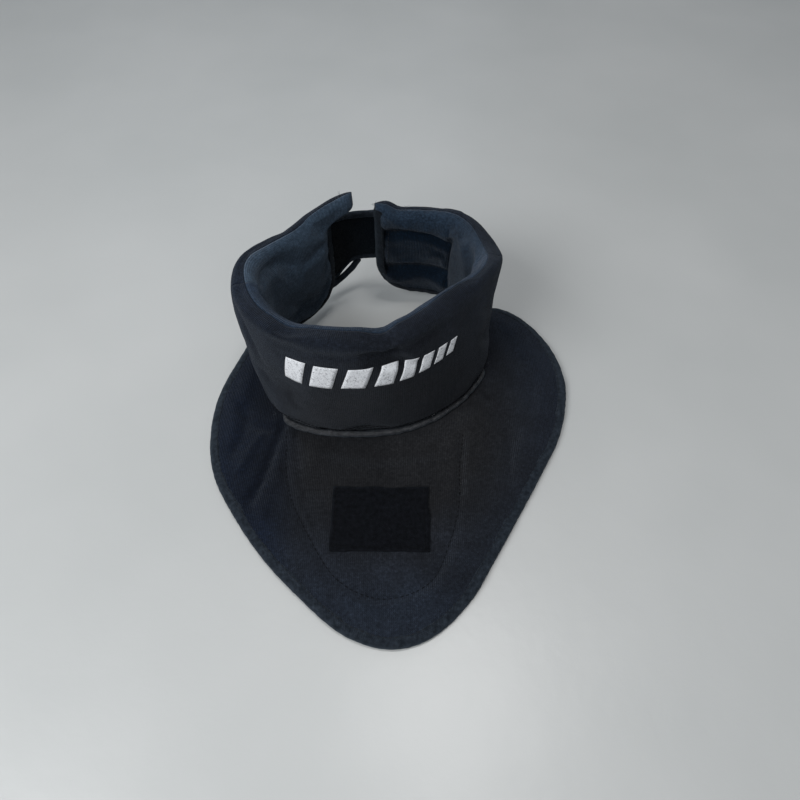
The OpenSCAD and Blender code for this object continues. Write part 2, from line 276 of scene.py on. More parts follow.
def wall_rings(angles, inset=0.0, levels=LEVELS, roll_points=ROLL_POINTS):
    """Loops of points round the wall: up the outer face, over the roll, down the inner."""
    rings = []
    for angle in angles:
        foot, top = wall_foot(angle) + inset, top_of(angle) - inset
        shoulder = top - ROLL + inset
        heights = [foot + (shoulder - foot) * k / (levels - 1) for k in range(levels)]
        out, back = ([max(THINNEST, half(angle, z) - inset) for z in heights]
                     for half in (outer_half, inner_half))
        loop = list(zip(out, heights))
        for k in range(roll_points):
            turn = math.pi * (k + 1) / (roll_points + 1)
            half = out[-1] if turn < math.pi / 2 else back[-1]
            loop.append((half * math.cos(turn), shoulder + (top - shoulder) * math.sin(turn)))
        loop += [(-b, z) for b, z in zip(reversed(back), reversed(heights))]
        rings.append([place(angle + flare(angle, z), -WALL / 2 + o, z) for o, z in loop])
    return rings


def add_mesh(name, points, faces, uvs=None):
    """New object from points and faces; uvs gives one (u, v) for each face corner."""
    mesh = bpy.data.meshes.new(name)
    mesh.from_pydata([tuple(p) for p in points], [], faces)
    if uvs is not None:
        layer = mesh.uv_layers.new(name="weave")
        layer.data.foreach_set("uv", np.array(uvs, np.float32).ravel())
    mesh.polygons.foreach_set("use_smooth", [True] * len(mesh.polygons))
    mesh.update()
    made = bpy.data.objects.new(name, mesh)
    scene.collection.objects.link(made)
    return made


@contextmanager
def edited(piece):
    """Editable mesh of a piece, written back when the block ends."""
    mesh = bmesh.new()
    mesh.from_mesh(piece.data)
    yield mesh
    mesh.to_mesh(piece.data)
    mesh.free()


def loft(name, rings, closed_path=False, caps=True):
    """Tube over closed loops of points. Its UV map, in metres, follows the path and section."""
    count, size = len(rings), len(rings[0])
    points = [p for loop in rings for p in loop]
    middle = size // 4
    along = [0.0]
    for a, b in zip(rings, rings[1:] + rings[:1]):
        along.append(along[-1] + (b[middle] - a[middle]).length)
    section = rings[count // 2]
    around = [0.0]
    for a, b in zip(section, section[1:] + section[:1]):
        around.append(around[-1] + (b - a).length)
    faces, uvs = [], []
    for i in range(count if closed_path else count - 1):
        n = (i + 1) % count
        for j in range(size):
            k = (j + 1) % size
            faces.append((i * size + j, n * size + j, n * size + k, i * size + k))
            uvs += [(along[i], around[j]), (along[i + 1], around[j]),
                    (along[i + 1], around[j + 1]), (along[i], around[j + 1])]
    if caps and not closed_path:
        for base, flip in ((0, False), ((count - 1) * size, True)):
            for j in range(size // 2 - 1):
                quad = (base + j, base + j + 1, base + size - 2 - j, base + size - 1 - j)
                faces.append(quad[::-1] if flip else quad)
                uvs += [(j * mm, 0), (j * mm, 2 * mm), (j * mm, 4 * mm), (j * mm, 6 * mm)]
    made = add_mesh(name, points, faces, uvs)
    with edited(made) as mesh:
        bmesh.ops.recalc_face_normals(mesh, faces=mesh.faces)
    return made


def coordinates(mesh):
    found = np.zeros(len(mesh.vertices) * 3)
    mesh.vertices.foreach_get("co", found)
    return found.reshape(-1, 3)


def puff(piece, held, pressure, cap, slack, stiff=18, frames=20):
    """Cloth simulation of a sewn, stuffed piece: held points stay, the rest swells."""
    start = coordinates(piece.data)
    group = piece.vertex_groups.new(name="sewn")
    group.add([int(i) for i in held], 1.0, "REPLACE")
    cloth = piece.modifiers.new("stuffing", "CLOTH")
    for key, value in {"quality": 6, "mass": 0.25, "tension_stiffness": stiff,
                       "compression_stiffness": stiff, "shear_stiffness": stiff / 3,
                       "bending_stiffness": 0.6, "use_pressure": True, "shrink_min": -slack,
                       "uniform_pressure_force": pressure, "vertex_group_mass": "sewn"}.items():
        setattr(cloth.settings, key, value)
    cloth.settings.effector_weights.gravity = 0
    cloth.collision_settings.use_collision = False
    cloth.point_cache.frame_end = frames
    for step in range(1, frames + 1):
        scene.frame_set(step)
    shot = piece.evaluated_get(bpy.context.evaluated_depsgraph_get())
    moved = coordinates(shot.to_mesh()) - start
    normals = np.array([v.normal[:] for v in piece.data.vertices])
    inward = np.minimum(0, (moved * normals).sum(1, keepdims=True) + 0.5 * mm)
    moved -= inward * normals
    shot.to_mesh_clear()
    scene.frame_set(1)
    piece.modifiers.remove(cloth)
    piece.vertex_groups.remove(group)
    length = np.linalg.norm(moved, axis=1, keepdims=True)
    moved *= np.minimum(1, cap / np.maximum(length, 1e-9))
    piece.data.vertices.foreach_set("co", (start + moved).ravel())
    piece.data.update()


def bake(piece):
    """Turns the evaluated piece into a plain mesh and removes its modifiers."""
    shot = piece.evaluated_get(bpy.context.evaluated_depsgraph_get())
    plain = bpy.data.meshes.new_from_object(shot)
    piece.modifiers.clear()
    piece.data = plain
    plain.name = piece.name


def thicken(piece, thickness):
    """Gives cloth its thickness, inward of its face."""
    solid = piece.modifiers.new("cloth", "SOLIDIFY")
    solid.thickness, solid.offset = thickness, -1
    bake(piece)


def smooth(piece):
    finer = piece.modifiers.new("smooth", "SUBSURF")
    finer.levels = finer.render_levels = 1
    bake(piece)


def painted_light_tint(colour, tint):
    """Multiplies a colour by a tint; the knit uses it for painted light, shade and sheen."""
    tree = colour.id_data
    mixed = add_node(tree, "ShaderNodeMix", {"Factor": 1}, data_type="RGBA",
                     blend_type="MULTIPLY")
    tree.links.new(colour, mixed.inputs[6])
    tree.links.new(tint, mixed.inputs[7])
    return mixed.outputs[2]


def split_axes(vector):
    tree = vector.id_data
    node = add_node(tree, "ShaderNodeSeparateXYZ")
    tree.links.new(vector, node.inputs[0])
    return node.outputs


def weave_map(tree):
    """The two directions of the UV map that lies along the cloth, in metres."""
    return split_axes(add_node(tree, "ShaderNodeUVMap", uv_map="weave").outputs["UV"])


def knit(name, dark, light, sheen, wale=1.05 * mm, course=0.8 * mm, depth=0.00016, painted_light_and_shade=()):
    """Warp knit: rows of small V stitches on the weave UV map, fuzz, lint and a painted blue sheen
    away from the object's origin.

    Each entry of the last argument is an axis and stops of (place in metres, tint) along it:
    painted light and shade by position.
    """
    material, tree, body = new_material(name)
    weave = weave_map(tree)
    across = calc("FRACT", calc("DIVIDE", weave[0], wale))
    leg = calc("ABSOLUTE", calc("SUBTRACT", across, 0.5))
    row = calc("ADD", calc("DIVIDE", weave[1], course), leg)
    stitch = calc("SINE", calc("MULTIPLY", row, 2 * math.pi))
    wales = calc("SINE", calc("MULTIPLY", across, math.pi))
    yarn = calc("MULTIPLY", calc("ADD", stitch, 1.2), wales)
    cloud = grain(body, 38, 5)
    height = calc("ADD", yarn, calc("MULTIPLY", grain(body, 2600, 2), 1.4))
    tone = calc("ADD", calc("MULTIPLY", cloud, 0.25),
                calc("MULTIPLY", grain(body, 620, 5, 0.8), 0.75))
    colour = ramp(tone, (0.38, dark), (0.54, light), (0.68, tuple(2.0 * c for c in light)))
    # painted blue sheen: the knit is tinted bluer the further it lies from the object's origin
    reach = add_node(tree, "ShaderNodeVectorMath", operation="LENGTH")
    tree.links.new(body, reach.inputs[0])
    colour = painted_light_tint(colour, ramp(calc("ADD", reach.outputs["Value"], calc("MULTIPLY", cloud, 0.03)),
                                (0.07, (1, 1, 1)), (0.125, (0.80, 1.12, 1.62))))
    # painted light and shade: each tint lightens or darkens the knit along one axis
    for axis, stops in painted_light_and_shade:
        along = calc("ADD", split_axes(body)[axis], 0.5)
        colour = painted_light_tint(colour, ramp(along, *[(where + 0.5, shade) for where, shade in stops]))
    normal = bump(cloud, 0.0012, 0.35, bump(height, depth, 0.9))
    set_surface(tree, colour, normal, 0.88, 0.08, sheen, 0.45, (0.75, 0.85, 1.0))
    return material


# painted shade: the collar's knit is darker and bluer towards its left side
cover_knit = knit("charcoal_knit", (0.0048, 0.0048, 0.0057), (0.0115, 0.0115, 0.0132), 0.09,
                  painted_light_and_shade=[(0, [(-0.098, (0.62, 0.76, 0.98)), (-0.070, (0.9, 0.95, 1)),
                              (-0.05, (1, 1, 1))])])
LINING = (0.0060, 0.0085, 0.0115), (0.0190, 0.0250, 0.0320)
LINING_STITCH = 1.2 * mm, 0.9 * mm, 0.00015
lining_knit = knit("brushed_lining", *LINING, 0.16, *LINING_STITCH)
# painted light: a lighter copy of the lining for the left half's inner face
painted_light_lining = knit("painted_light_lining", (0.0205, 0.0245, 0.0265), (0.0460, 0.0525, 0.0550), 0.20,
                   *LINING_STITCH)
painted_lining_shade = (0.15, 0.27, 0.31)      # painted shade: the quilted lining is darkened below 60 mm, with a little painted light on its roll above 74 mm
quilted_lining = knit("quilted_lining", *LINING, 0.14, *LINING_STITCH,
                      [(2, [(0.060, painted_lining_shade), (0.074, (1.15, 1.1, 1.0))])])

# ---------------------------------------------------------------- foam and liner in the wall
# Each stretch of the wall holds a closed-cell foam core, and a folded sheet of yellow aramid
# cloth between the foam and the cover, which stops a blade. Neither shows.


def cells(body, scale, **settings):
    """Cell texture over the object; returns its distance."""
    tree = body.id_data
    node = add_node(tree, "ShaderNodeTexVoronoi", {"Scale": scale}, **settings)
    tree.links.new(body, node.inputs["Vector"])
    return node.outputs["Distance"]


def foam_material():
    material, tree, body = new_material("closed_cell_foam")
    colour = ramp(grain(body, 30), (0.3, (0.20, 0.20, 0.21)), (0.7, (0.28, 0.28, 0.29)))
    set_surface(tree, colour, bump(cells(body, 1400), 0.0003), 0.8)
    return material


BLUE_SHEEN = (0.6, 0.8, 1.0)


def woven(name, dark, light, thread=0.7 * mm, depth=0.00015, rough=0.75, sheen=0.1):
    """Plain weave on the weave UV map: over-and-under threads, with slubs and dust."""
    material, tree, body = new_material(name)
    weave = weave_map(tree)
    waves = [calc("SINE", calc("MULTIPLY", weave[k], math.pi / thread)) for k in (0, 1)]
    slub = grain(body, 420, 4)
    height = calc("ADD", calc("MULTIPLY", *waves), calc("MULTIPLY", slub, 1.2))
    colour = ramp(slub, (0.35, dark), (0.62, light), (0.8, tuple(1.6 * c for c in light)))
    set_surface(tree, colour, bump(height, depth, 0.9), rough, 0.35 if rough < 0.5 else 0.1,
                sheen, 0.4, BLUE_SHEEN)
    return material


foam = foam_material()
aramid = woven("aramid_liner", (0.42, 0.33, 0.10), (0.60, 0.49, 0.18), 0.9 * mm)


def dress(piece, material, slot, *stands_for):
    """Material and the CAD nodes that a finished piece stands for; slot is not used."""
    piece.data.materials.clear()
    piece.data.materials.append(material)
    if stands_for:
        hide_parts(*stands_for)


def steps(first, last, spacing):
    count = max(2, round(abs(last - first) / spacing))
    return [first + (last - first) * k / count for k in range(count + 1)]


def hang(piece, body):
    """Rides on a body, but a half's pieces are only baked in place, neither attached nor bent."""
    if body in BENDS:
        start, end = BENDS[body]
        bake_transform(piece)
        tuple(start)
        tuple(end)
    else:
        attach(piece, body)


def bend_zone(joint, length):
    pivot = Vector(joints[joint]["pos_m"])
    return pivot, pivot + Vector((0, length, 0))


BENDS = {"left_wing": bend_zone("left_wing_open", 30 * mm),
         "right_wing": bend_zone("right_wing_open", 26 * mm)}


def inner_pieces(angles, body, prefix):
    """The foam and the cut resistant liner hidden in a stretch of the wall."""
    core = loft(prefix + "_foam_core", wall_rings(angles, 3.4 * mm, 14, 6))
    sculpt(core, wall_folds)
    dress(core, foam, "foam", prefix + "_foam")
    hang(core, body)
    rows = [(2.7 * mm, k / 12) for k in range(13)] + [(3.1 * mm, 1 - k / 12) for k in range(13)]
    sheet = []
    for angle in angles[1:-2]:
        foot, top = wall_foot(angle) + 6 * mm, top_of(angle) - 8 * mm
        loop = [(depth, foot + (top - foot) * share) for depth, share in rows]
        sheet.append([place(angle, -WALL / 2 + max(0.9 * mm, outer_half(angle, z) - depth), z)
                      for depth, z in loop])
    liner = loft(prefix + "_liner_cloth", sheet)
    dress(liner, aramid, "cut_liner", prefix + "_cut_liner")
    hang(liner, body)
    length = sum((b - a).length for a, b in zip([s[0] for s in sheet], [s[0] for s in sheet][1:]))

# ---------------------------------------------------------------- cover and lining of the wall
# The whole wall is made as one padded skin, from the right end round the throat to the left
# end, then parted along its seams. Its foot is sewn down in front and bound on the halves.

QUILT = (37, 78.5)                      # ring angles of the sewn rectangle, right half


def quilt_rows(turn):
    """Heights of the rectangle's lower and upper rows, which draw together to the front."""
    share = (turn - QUILT[0]) / (QUILT[1] - QUILT[0])
    return (33 - 1.5 * share) * mm, (57 + 4 * share) * mm


def signed(angle):
    """The angle from -90 up to 270, so that the right half runs on through 0."""
    return (angle + 90) % 360 - 90


def in_front(angle):
    """1 where the collar stands on the bib and 0 on the free halves, easing between."""
    turn = signed(angle)
    turn += 360 if turn < 90 else 0
    return ease((turn - LEFT_SPLIT + 5) / 10) * ease((365 + RIGHT_SPLIT - turn) / 10)


def side(angle):
    """The end and rate of the half that an angle lies on."""
    return (RIGHT_END, RIGHT_RATE) if (angle + 90) % 360 < 180 else (LEFT_END, LEFT_RATE)


def wall_edge(angle, height):
    """Distance in from the nearest bound edge, or from the foot seam in front."""
    free = edge_distance(signed(angle), height, *side(angle))
    seam = height - FRONT_FOOT + 3.4 * mm
    return free + (seam - free) * in_front(angle)


def wall_foot(angle):
    end, rate = side(angle)
    share = 1 - min(CORNER, max(0.0, (signed(angle) - end) / rate)) / CORNER
    free = WING_FOOT + CORNER * (1 - math.sqrt(max(0.0, 1 - share * share)))
    return free + (FRONT_FOOT - free) * in_front(angle)


def quilting(angle, height):
    """0 to 1, how near a point of the right inner face is to the sewn rectangle's lines."""
    first, last = QUILT
    turn = signed(angle)
    if side(angle)[0] != RIGHT_END:
        return 0.0
    low, high = quilt_rows(turn)
    beyond = max(first - turn, turn - last, 0) / abs(RIGHT_RATE)
    rows = min(math.hypot(height - low, beyond), math.hypot(height - high, beyond))
    above = max(low - height - 5 * mm, height - high - 5 * mm, 0)
    ends = abs(turn - first) / abs(RIGHT_RATE)
    return max(bell(rows, 0, 6 * mm), bell(math.hypot(ends, above), 0, 5 * mm))


def outer_half(angle, height):
    return pinch(wall_edge(angle, height))


def inner_half(angle, height):
    first, last = QUILT
    turn = signed(angle)
    low, high = quilt_rows(turn)
    if side(angle)[0] != RIGHT_END:
        return pinch(wall_edge(angle, height))
    across = ease((turn - first) / 6) * ease((last + 6 - turn) / 6)
    channel = 1.2 * mm * across * (low < height < high)
    puffy = 1.4 * mm * across * max(bell(height, high + 9 * mm, 9 * mm),
                                    bell(height, low - 9 * mm, 8 * mm))
    return (pinch(wall_edge(angle, height)) + puffy
            - max(channel, 5.2 * mm * quilting(angle, height)))


def flare(angle, height):
    """The left end's top corner splays outward past the cut end."""
    turn = angle % 360
    ear = ease((height - 73 * mm) / (7 * mm)) * ease((LEFT_END + 13 - turn) / 12)
    return -17 * ear if turn < 180 and side(angle)[0] == LEFT_END else 0.0


SPLITS = (RIGHT_END, RIGHT_SPLIT, LEFT_SPLIT - 360, LEFT_END - 360)
RING_STEP = 2.1                             # degrees between the skin's rings
stretches = [steps(a, b, RING_STEP) for a, b in zip(SPLITS, SPLITS[1:])]
all_angles = stretches[0] + stretches[1][1:] + stretches[2][1:]
collar_skin = loft("collar_skin", wall_rings(all_angles))
LOOP = 2 * LEVELS + ROLL_POINTS
SEAM = LEVELS + ROLL_POINTS // 2            # where cover and lining meet, along the roll


def under_tape(angle):
    """Where the loop tape or the tab's root is sewn flat on the outside."""
    turn = signed(angle)
    return 35 < turn < 84 or 108 < turn < 133


def sewn_points():
    """Skin points that stitching or binding holds."""
    for i, angle in enumerate(all_angles):
        foot, top = wall_foot(angle), top_of(angle)
        for j in range(LOOP):
            inner = j >= LEVELS + ROLL_POINTS
            level = LOOP - 1 - j if inner else min(j, LEVELS - 1)
            height = foot + (top - ROLL - foot) * level / (LEVELS - 1)
            bound = wall_edge(angle, height) < 6.5 * mm and in_front(angle) < 0.5
            seam = level < 2 and in_front(angle) >= 0.5
            sewn = inner and quilting(angle, height) > 0.9
            taped = not inner and 24 * mm < height < 70 * mm and under_tape(angle)
            if bound or seam or sewn or taped or i in (0, len(all_angles) - 1):
                yield i * LOOP + j


def parting():
    """Which of the six pieces each face of the skin belongs to."""
    for k, angles in enumerate(stretches):
        for _ in angles[1:]:
            for j in range(LOOP):
                yield 2 * k + (1 if SEAM <= j < LOOP - 1 else 0)
    for end in (0, 2):
        for j in range(LOOP // 2 - 1):
            yield 2 * end


puff(collar_skin, sewn_points(), 6.5, 3.6 * mm, 0.04)


def sculpt(piece, change):
    """Moves each point by change(point, normal)."""
    piece.data.update()
    normals = [v.normal.copy() for v in piece.data.vertices]
    for vertex, normal in zip(piece.data.vertices, normals):
        vertex.co += change(vertex.co.copy(), normal)


def ring_angle(point):
    """Rough ring angle of a point, in degrees from 0 to 360."""
    x, y = point.x - RING_CENTRE[0], point.y - RING_CENTRE[1]
    c, s = math.cos(-TURN), math.sin(-TURN)
    return math.degrees(math.atan2((x * s + y * c) / HALF_DEPTH,
                                   (x * c - y * s) / HALF_WIDTH)) % 360


def outward_of(point):
    """How far a point's direction from the ring's middle agrees with a normal."""
    return Vector((point.x - RING_CENTRE[0], point.y - RING_CENTRE[1], 0)).normalized()


def wall_folds(point, normal):
    """The fold under the rolled edge, drag lines, the side bends' creases and hand waver."""
    angle = ring_angle(point)
    below = top_of(angle) - point.z
    outside = ease(normal.dot(outward_of(point)) * 2 + 0.2)
    waver = 1.3 * mm * noise.noise(Vector((angle * 0.09, 3.1, 0)))
    reach = bell(angle, 272, 56) * (0.8 + 0.4 * noise.noise(Vector((angle * 0.12, 0, 0))))
    move = -2.3 * mm * reach * bell(below + waver, 10.5 * mm, 3.6 * mm)
    move += 1.1 * mm * reach * bell(below + waver, 5 * mm, 5 * mm)
    move -= 0.9 * mm * bell(angle, 238, 20) * bell(below - 0.25 * mm * (angle - 238),
                                                   17 * mm, 3.2 * mm)
    move -= 0.9 * mm * bell(angle, 312, 24) * bell(below + 0.35 * mm * (angle - 312),
                                                   15 * mm, 3.6 * mm)
    # the side bends: a slanting crease through the outer face under each
    for middle, slant, deep in ((206, 0.42, 2.2), (352, -0.3, 1.6)):
        drift = middle + slant * (below / mm - 20)
        move -= deep * mm * bell(angle, drift, 5.5) * bell(below, 22 * mm, 24 * mm)
    bulge = 2.2 * mm * bell(angle, 175, 32) * bell(below, 30 * mm, 34 * mm)
    move = (move + bulge) * outside
    inner_fold = -1.1 * mm * bell(angle, 196, 7) * (1 - outside) * bell(below, 20 * mm, 22 * mm)
    crinkle = 0.7 * bell(angle, 150, 60) * noise.noise(point * 110)
    crinkle += 0.55 * bell(angle, 55, 40) * noise.noise(Vector((angle * 0.5, point.z * 240, 7)))
    crinkle *= mm * (1 - outside)
    return normal * (move + inner_fold + crinkle
                     + 0.45 * mm * noise.fractal(point * 42, 1.0, 2.0, 3))


sculpt(collar_skin, wall_folds)
collar_skin.data.polygons.foreach_set("material_index", list(parting()))
for _ in range(6):                          # an empty slot for each piece's faces
    collar_skin.data.materials.append(None)
smooth(collar_skin)


def tree_of(piece):
    """Search tree that lines can be cast against."""
    return BVHTree.FromObject(piece, bpy.context.evaluated_depsgraph_get())


skin_tree = tree_of(collar_skin)


def part_of(source, name, keep):
    """Copy of a piece with only the faces that keep(face) picks."""
    piece = source.copy()
    piece.data = source.data.copy()
    piece.name = piece.data.name = name
    scene.collection.objects.link(piece)
    with edited(piece) as mesh:
        unwanted = [face for face in mesh.faces if not keep(face)]
        bmesh.ops.delete(mesh, geom=unwanted, context="FACES")
        for face in mesh.faces:
            face.material_index = 0
    return piece


WALLS = (("right_wing", "right_wing", quilted_lining),
         ("collar_front", "collar_and_yoke", lining_knit), ("left_wing", "left_wing", painted_light_lining))
for index, (prefix, body, lining) in enumerate(WALLS):
    for face, (label, thickness, cloth, node) in enumerate((
            ("knit_cover", 0.9 * mm, cover_knit, "_cover"),
            ("inner_lining", 0.8 * mm, lining, "_lining"))):
        piece = part_of(collar_skin, f"{prefix}_{label}",
                        lambda f: f.material_index == 2 * index + face)
        thicken(piece, thickness)
        dress(piece, cloth, label, prefix + node)
        hang(piece, body)
    inner_pieces(stretches[index], body, prefix)
bpy.data.objects.remove(collar_skin)

# ---------------------------------------------------------------- bound edges of the halves
# A folded tape wraps the foot, the rounded corner and the cut end of each half, pinching the
# foam. It is stitched through, and puckers between its stitches.


def thread_material(name, colour, rough):
    material, tree, body = new_material(name)
    twist = grain(body, 1500, 2)
    shade = ramp(twist, (0.3, tuple(0.7 * c for c in colour)), (0.7, colour))
    set_surface(tree, shade, bump(twist, 0.0001), rough, 0.1, 0.03, tint=BLUE_SHEEN)
    return material


black_thread = thread_material("black_thread", (0.017, 0.019, 0.024), 0.6)
grey_lint = thread_material("frayed_yarn", (0.10, 0.11, 0.13), 0.9)


def node_group(name, inputs, kinds, wires):
    """Geometry node tree with named inputs, of which the last is the material.

    kinds gives each node's type, settings and input values. Each line of wires joins an output
    to an input. What reaches "real" is made real, painted and sent out.
    """
    group = bpy.data.node_groups.new(name, "GeometryNodeTree")
    for label, kind in (("Geometry", "Geometry"), *inputs):
        group.interface.new_socket(label, in_out="INPUT", socket_type="NodeSocket" + kind)
    group.interface.new_socket("Geometry", in_out="OUTPUT", socket_type="NodeSocketGeometry")
    kinds = {"source": ("NodeGroupInput",), **kinds, "real": ("GeometryNodeRealizeInstances",),
             "paint": ("GeometryNodeSetMaterial",), "end": ("NodeGroupOutput",)}
    nodes = {}
    for label, (kind, *rest) in kinds.items():
        settings, values = (rest + [{}, {}])[:2]
        nodes[label] = add_node(group, kind, values, **settings)
    wires += f"""real.0 > paint.Geometry
                 source.{inputs[-1][0]} > paint.Material
                 paint.0 > end.0"""
    for wire in wires.splitlines():
        (start, out), (end, into) = (half.strip().split(".") for half in wire.split(">"))
        group.links.new(nodes[start].outputs[int(out) if out.isdigit() else out],
                        nodes[end].inputs[int(into) if into.isdigit() else into])
    return group


# runs of single stitches, each an elongated bead, along a path of edges
SEWING = node_group(
    "sewn_row",
    [("Spacing", "Float"), ("Length", "Float"), ("Width", "Float"), ("Thread", "Material")],
    {"curve": ("GeometryNodeMeshToCurve",),
     "spaced": ("GeometryNodeResampleCurve", {"mode": "LENGTH"}),
     "bead": ("GeometryNodeMeshUVSphere", {}, {"Segments": 6, "Rings": 5, "Radius": 0.5}),
     "tangent": ("GeometryNodeInputTangent",),
     "turn": ("FunctionNodeAlignRotationToVector", {"axis": "X"}),
     "size": ("ShaderNodeCombineXYZ",),
     "rows": ("GeometryNodeInstanceOnPoints",)},
    """source.Geometry > curve.0
       curve.0 > spaced.Curve
       source.Spacing > spaced.Length
       spaced.0 > rows.Points
       bead.Mesh > rows.Instance
       tangent.0 > turn.Vector
       turn.0 > rows.Rotation
       source.Length > size.0
       source.Width > size.1
       source.Width > size.2
       size.0 > rows.Scale
       rows.0 > real.0
    """)
# small standing loops or hooks scattered over a surface
PILE = node_group(
    "tape_pile",
    [("Density", "Float"), ("Size", "Float"), ("Yarn", "Float"), ("Sweep", "Float"),
     ("Material", "Material")],
    {"scatter": ("GeometryNodeDistributePointsOnFaces", {"distribute_method": "RANDOM"},
                 {"Seed": 7}),
     "arc": ("GeometryNodeCurveArc", {}, {"Resolution": 6}),
     "profile": ("GeometryNodeCurvePrimitiveCircle", {}, {"Resolution": 3}),
     "yarn": ("GeometryNodeCurveToMesh",),
     "stand": ("GeometryNodeTransform", {}, {"Rotation": (math.pi / 2, 0, 0)}),
     "spin": ("FunctionNodeRandomValue", {"data_type": "FLOAT"}, {3: math.tau}),
     "about": ("ShaderNodeCombineXYZ",),
     "around": ("FunctionNodeEulerToRotation",),
     "turned": ("FunctionNodeRotateRotation", {"rotation_space": "LOCAL"}),
     "loops": ("GeometryNodeInstanceOnPoints",)},
    """source.Geometry > scatter.Mesh
       source.Density > scatter.Density
       source.Size > arc.Radius
       source.Sweep > arc.Sweep Angle
       source.Yarn > profile.Radius
       arc.0 > yarn.Curve
       profile.0 > yarn.Profile Curve
       yarn.0 > stand.Geometry
       scatter.Points > loops.Points
       stand.0 > loops.Instance
       spin.1 > about.2
       about.0 > around.0
       scatter.Rotation > turned.0
       around.0 > turned.1
       turned.0 > loops.Rotation
       loops.0 > real.0
    """)


def run_group(piece, group, **values):
    """Runs a node group on a piece with its inputs set, and leaves a plain mesh."""
    tool = piece.modifiers.new(group.name, "NODES")
    tool.node_group = group
    for item in group.interface.items_tree:
        if item.in_out == "INPUT" and item.name.lower() in values:
            tool[item.identifier] = values[item.name.lower()]
    bake(piece)
    piece.data.polygons.foreach_set("use_smooth", [True] * len(piece.data.polygons))


def sew(name, paths, spacing=2.6 * mm, length=2.0 * mm, width=0.55 * mm, thread=black_thread):
    """Rows of stitches along lists of points."""
    points, edges = [], []
    for path in paths:
        base = len(points)
        points += path
        edges += [(base + k, base + k + 1) for k in range(len(path) - 1)]
    mesh = bpy.data.meshes.new(name)
    mesh.from_pydata([tuple(p) for p in points], edges, [])
    row = bpy.data.objects.new(name, mesh)
    scene.collection.objects.link(row)
    run_group(row, SEWING, spacing=spacing, length=length, width=width, thread=thread)
    return row


def on_cloth(tree, angle, height, lift=0.1 * mm, inside=False):
    """Point where a line through the wall at a ring angle and height meets the cloth."""
    clear, across = (-WALL - 22 * mm, 12 * mm) if inside else (24 * mm, -WALL)
    start = place(angle, clear, height)
    aim = (place(angle, across, height) - start).normalized()
    hit, normal, _, _ = tree.ray_cast(start, aim)
    if hit is None:
        return place(angle, -WALL if inside else 0, height)
    return hit - normal * math.copysign(lift, normal.dot(aim))


binding_weave = woven("binding_tape", (0.0075, 0.0105, 0.0155), (0.0210, 0.0275, 0.0375),
                      0.55 * mm, 0.0002, 0.65, 0.12)
wing_binding = woven("dark_binding", (0.0035, 0.0050, 0.0075), (0.0095, 0.0125, 0.0175),
                     0.55 * mm, 0.0002, 0.75, 0.06)
BAND = 6.2 * mm


def edge_path(split, end, rate):
    """(distance along, height, turn) down a half's foot, round its corner and up its end."""
    length = (split - end) / rate
    path = [(x, 0.0, 0.0) for x in steps(length, CORNER, 2.2 * mm)[:-1]]
    for k in range(21):
        turn = math.pi / 2 * k / 20
        path.append((CORNER * (1 - math.sin(turn)), CORNER * (1 - math.cos(turn)), turn))
    top = top_of(end) - WING_FOOT - (17 if end == LEFT_END else 3) * mm
    return path + [(0.0, z, math.pi / 2) for z in steps(CORNER, top, 2.2 * mm)[1:]]


def edge_point(spot, inset, side_way, end, rate):
    """Point of the binding, inset from the edge and side_way out from the wall's middle."""
    x, z, turn = spot
    angle = end + (x + inset * math.sin(turn)) * rate
    height = WING_FOOT + z + inset * math.cos(turn)
    return place(angle + flare(angle, height), -WALL / 2 + side_way, height)


def folded_section(half, thickness=0.55 * mm, band=BAND):
    """Section of a folded tape as (inset, sideways) points, half(inset) from the middle."""
    insets = [band, band - 0.4 * mm, band * 0.66, band * 0.36, band * 0.12]
    lifts = [0.1 * mm, thickness, thickness, thickness, thickness]
    face = [(q, half(q) + lift) for q, lift in zip(insets, lifts)] + [(-0.5 * mm, 0.9 * mm)]
    inner = [(q, half(q) - 0.2 * mm) for q in (band, band * 0.5, 0.8 * mm)]
    return (face + [(q, -h) for q, h in reversed(face)] + [(q, -h) for q, h in inner]
            + [(q, h) for q, h in reversed(inner)])


def pucker(size, pitch=170):
    def move(point, normal):
        crimp = noise.noise(point * pitch) + 0.5 * noise.noise(point * pitch * 2.3)
        return normal * size * crimp
    return move


LEFT, RIGHT = (LEFT_SPLIT, LEFT_END, LEFT_RATE), (RIGHT_SPLIT, RIGHT_END, RIGHT_RATE)
for prefix, (split, end, rate) in (("left_wing", LEFT), ("right_wing", RIGHT)):
    section = folded_section(lambda q: pinch(q))
    spots = edge_path(split, end, rate)
    tape = loft(prefix + "_bound_edge",
                [[edge_point(spot, q, h, end, rate) for q, h in section] for spot in spots])
    sculpt(tape, wall_folds)
    smooth(tape)
    sculpt(tape, pucker(0.35 * mm))
    dress(tape, wing_binding, "binding_tape", prefix + "_binding")
    hang(tape, prefix)
    tape_tree = tree_of(tape)
    rows = []
    for inside in (False, True):
        row = []
        for k, (x, z, turn) in enumerate(spots[1:-1]):
            inset = BAND - 1.5 * mm + (0.9 * mm * (-1) ** k if inside else 0)
            angle = end + (x + inset * math.sin(turn)) * rate
            height = WING_FOOT + z + inset * math.cos(turn)
            row.append(on_cloth(tape_tree, angle + flare(angle, height), height,
                                0.12 * mm, inside))
        rows.append(row)
    hang(sew(prefix + "_edge_stitches", rows), prefix)

# ---------------------------------------------------------------- sewn rectangle, right half
# The loop tape behind the right half is stitched right through the foam. On the inner face
# the stitches pull deep channels that leave a puffy roll above and a rib below.


def rectangle(first, last, levels, spot):
    """Four rows round a rectangle in ring angle, between heights levels(angle)."""
    rows = [[spot(a, levels(a)[k]) for a in steps(first, last, 1.2)] for k in (0, 1)]
    return rows + [[spot(a, z) for z in steps(*levels(a), 1.5 * mm)] for a in (first, last)]


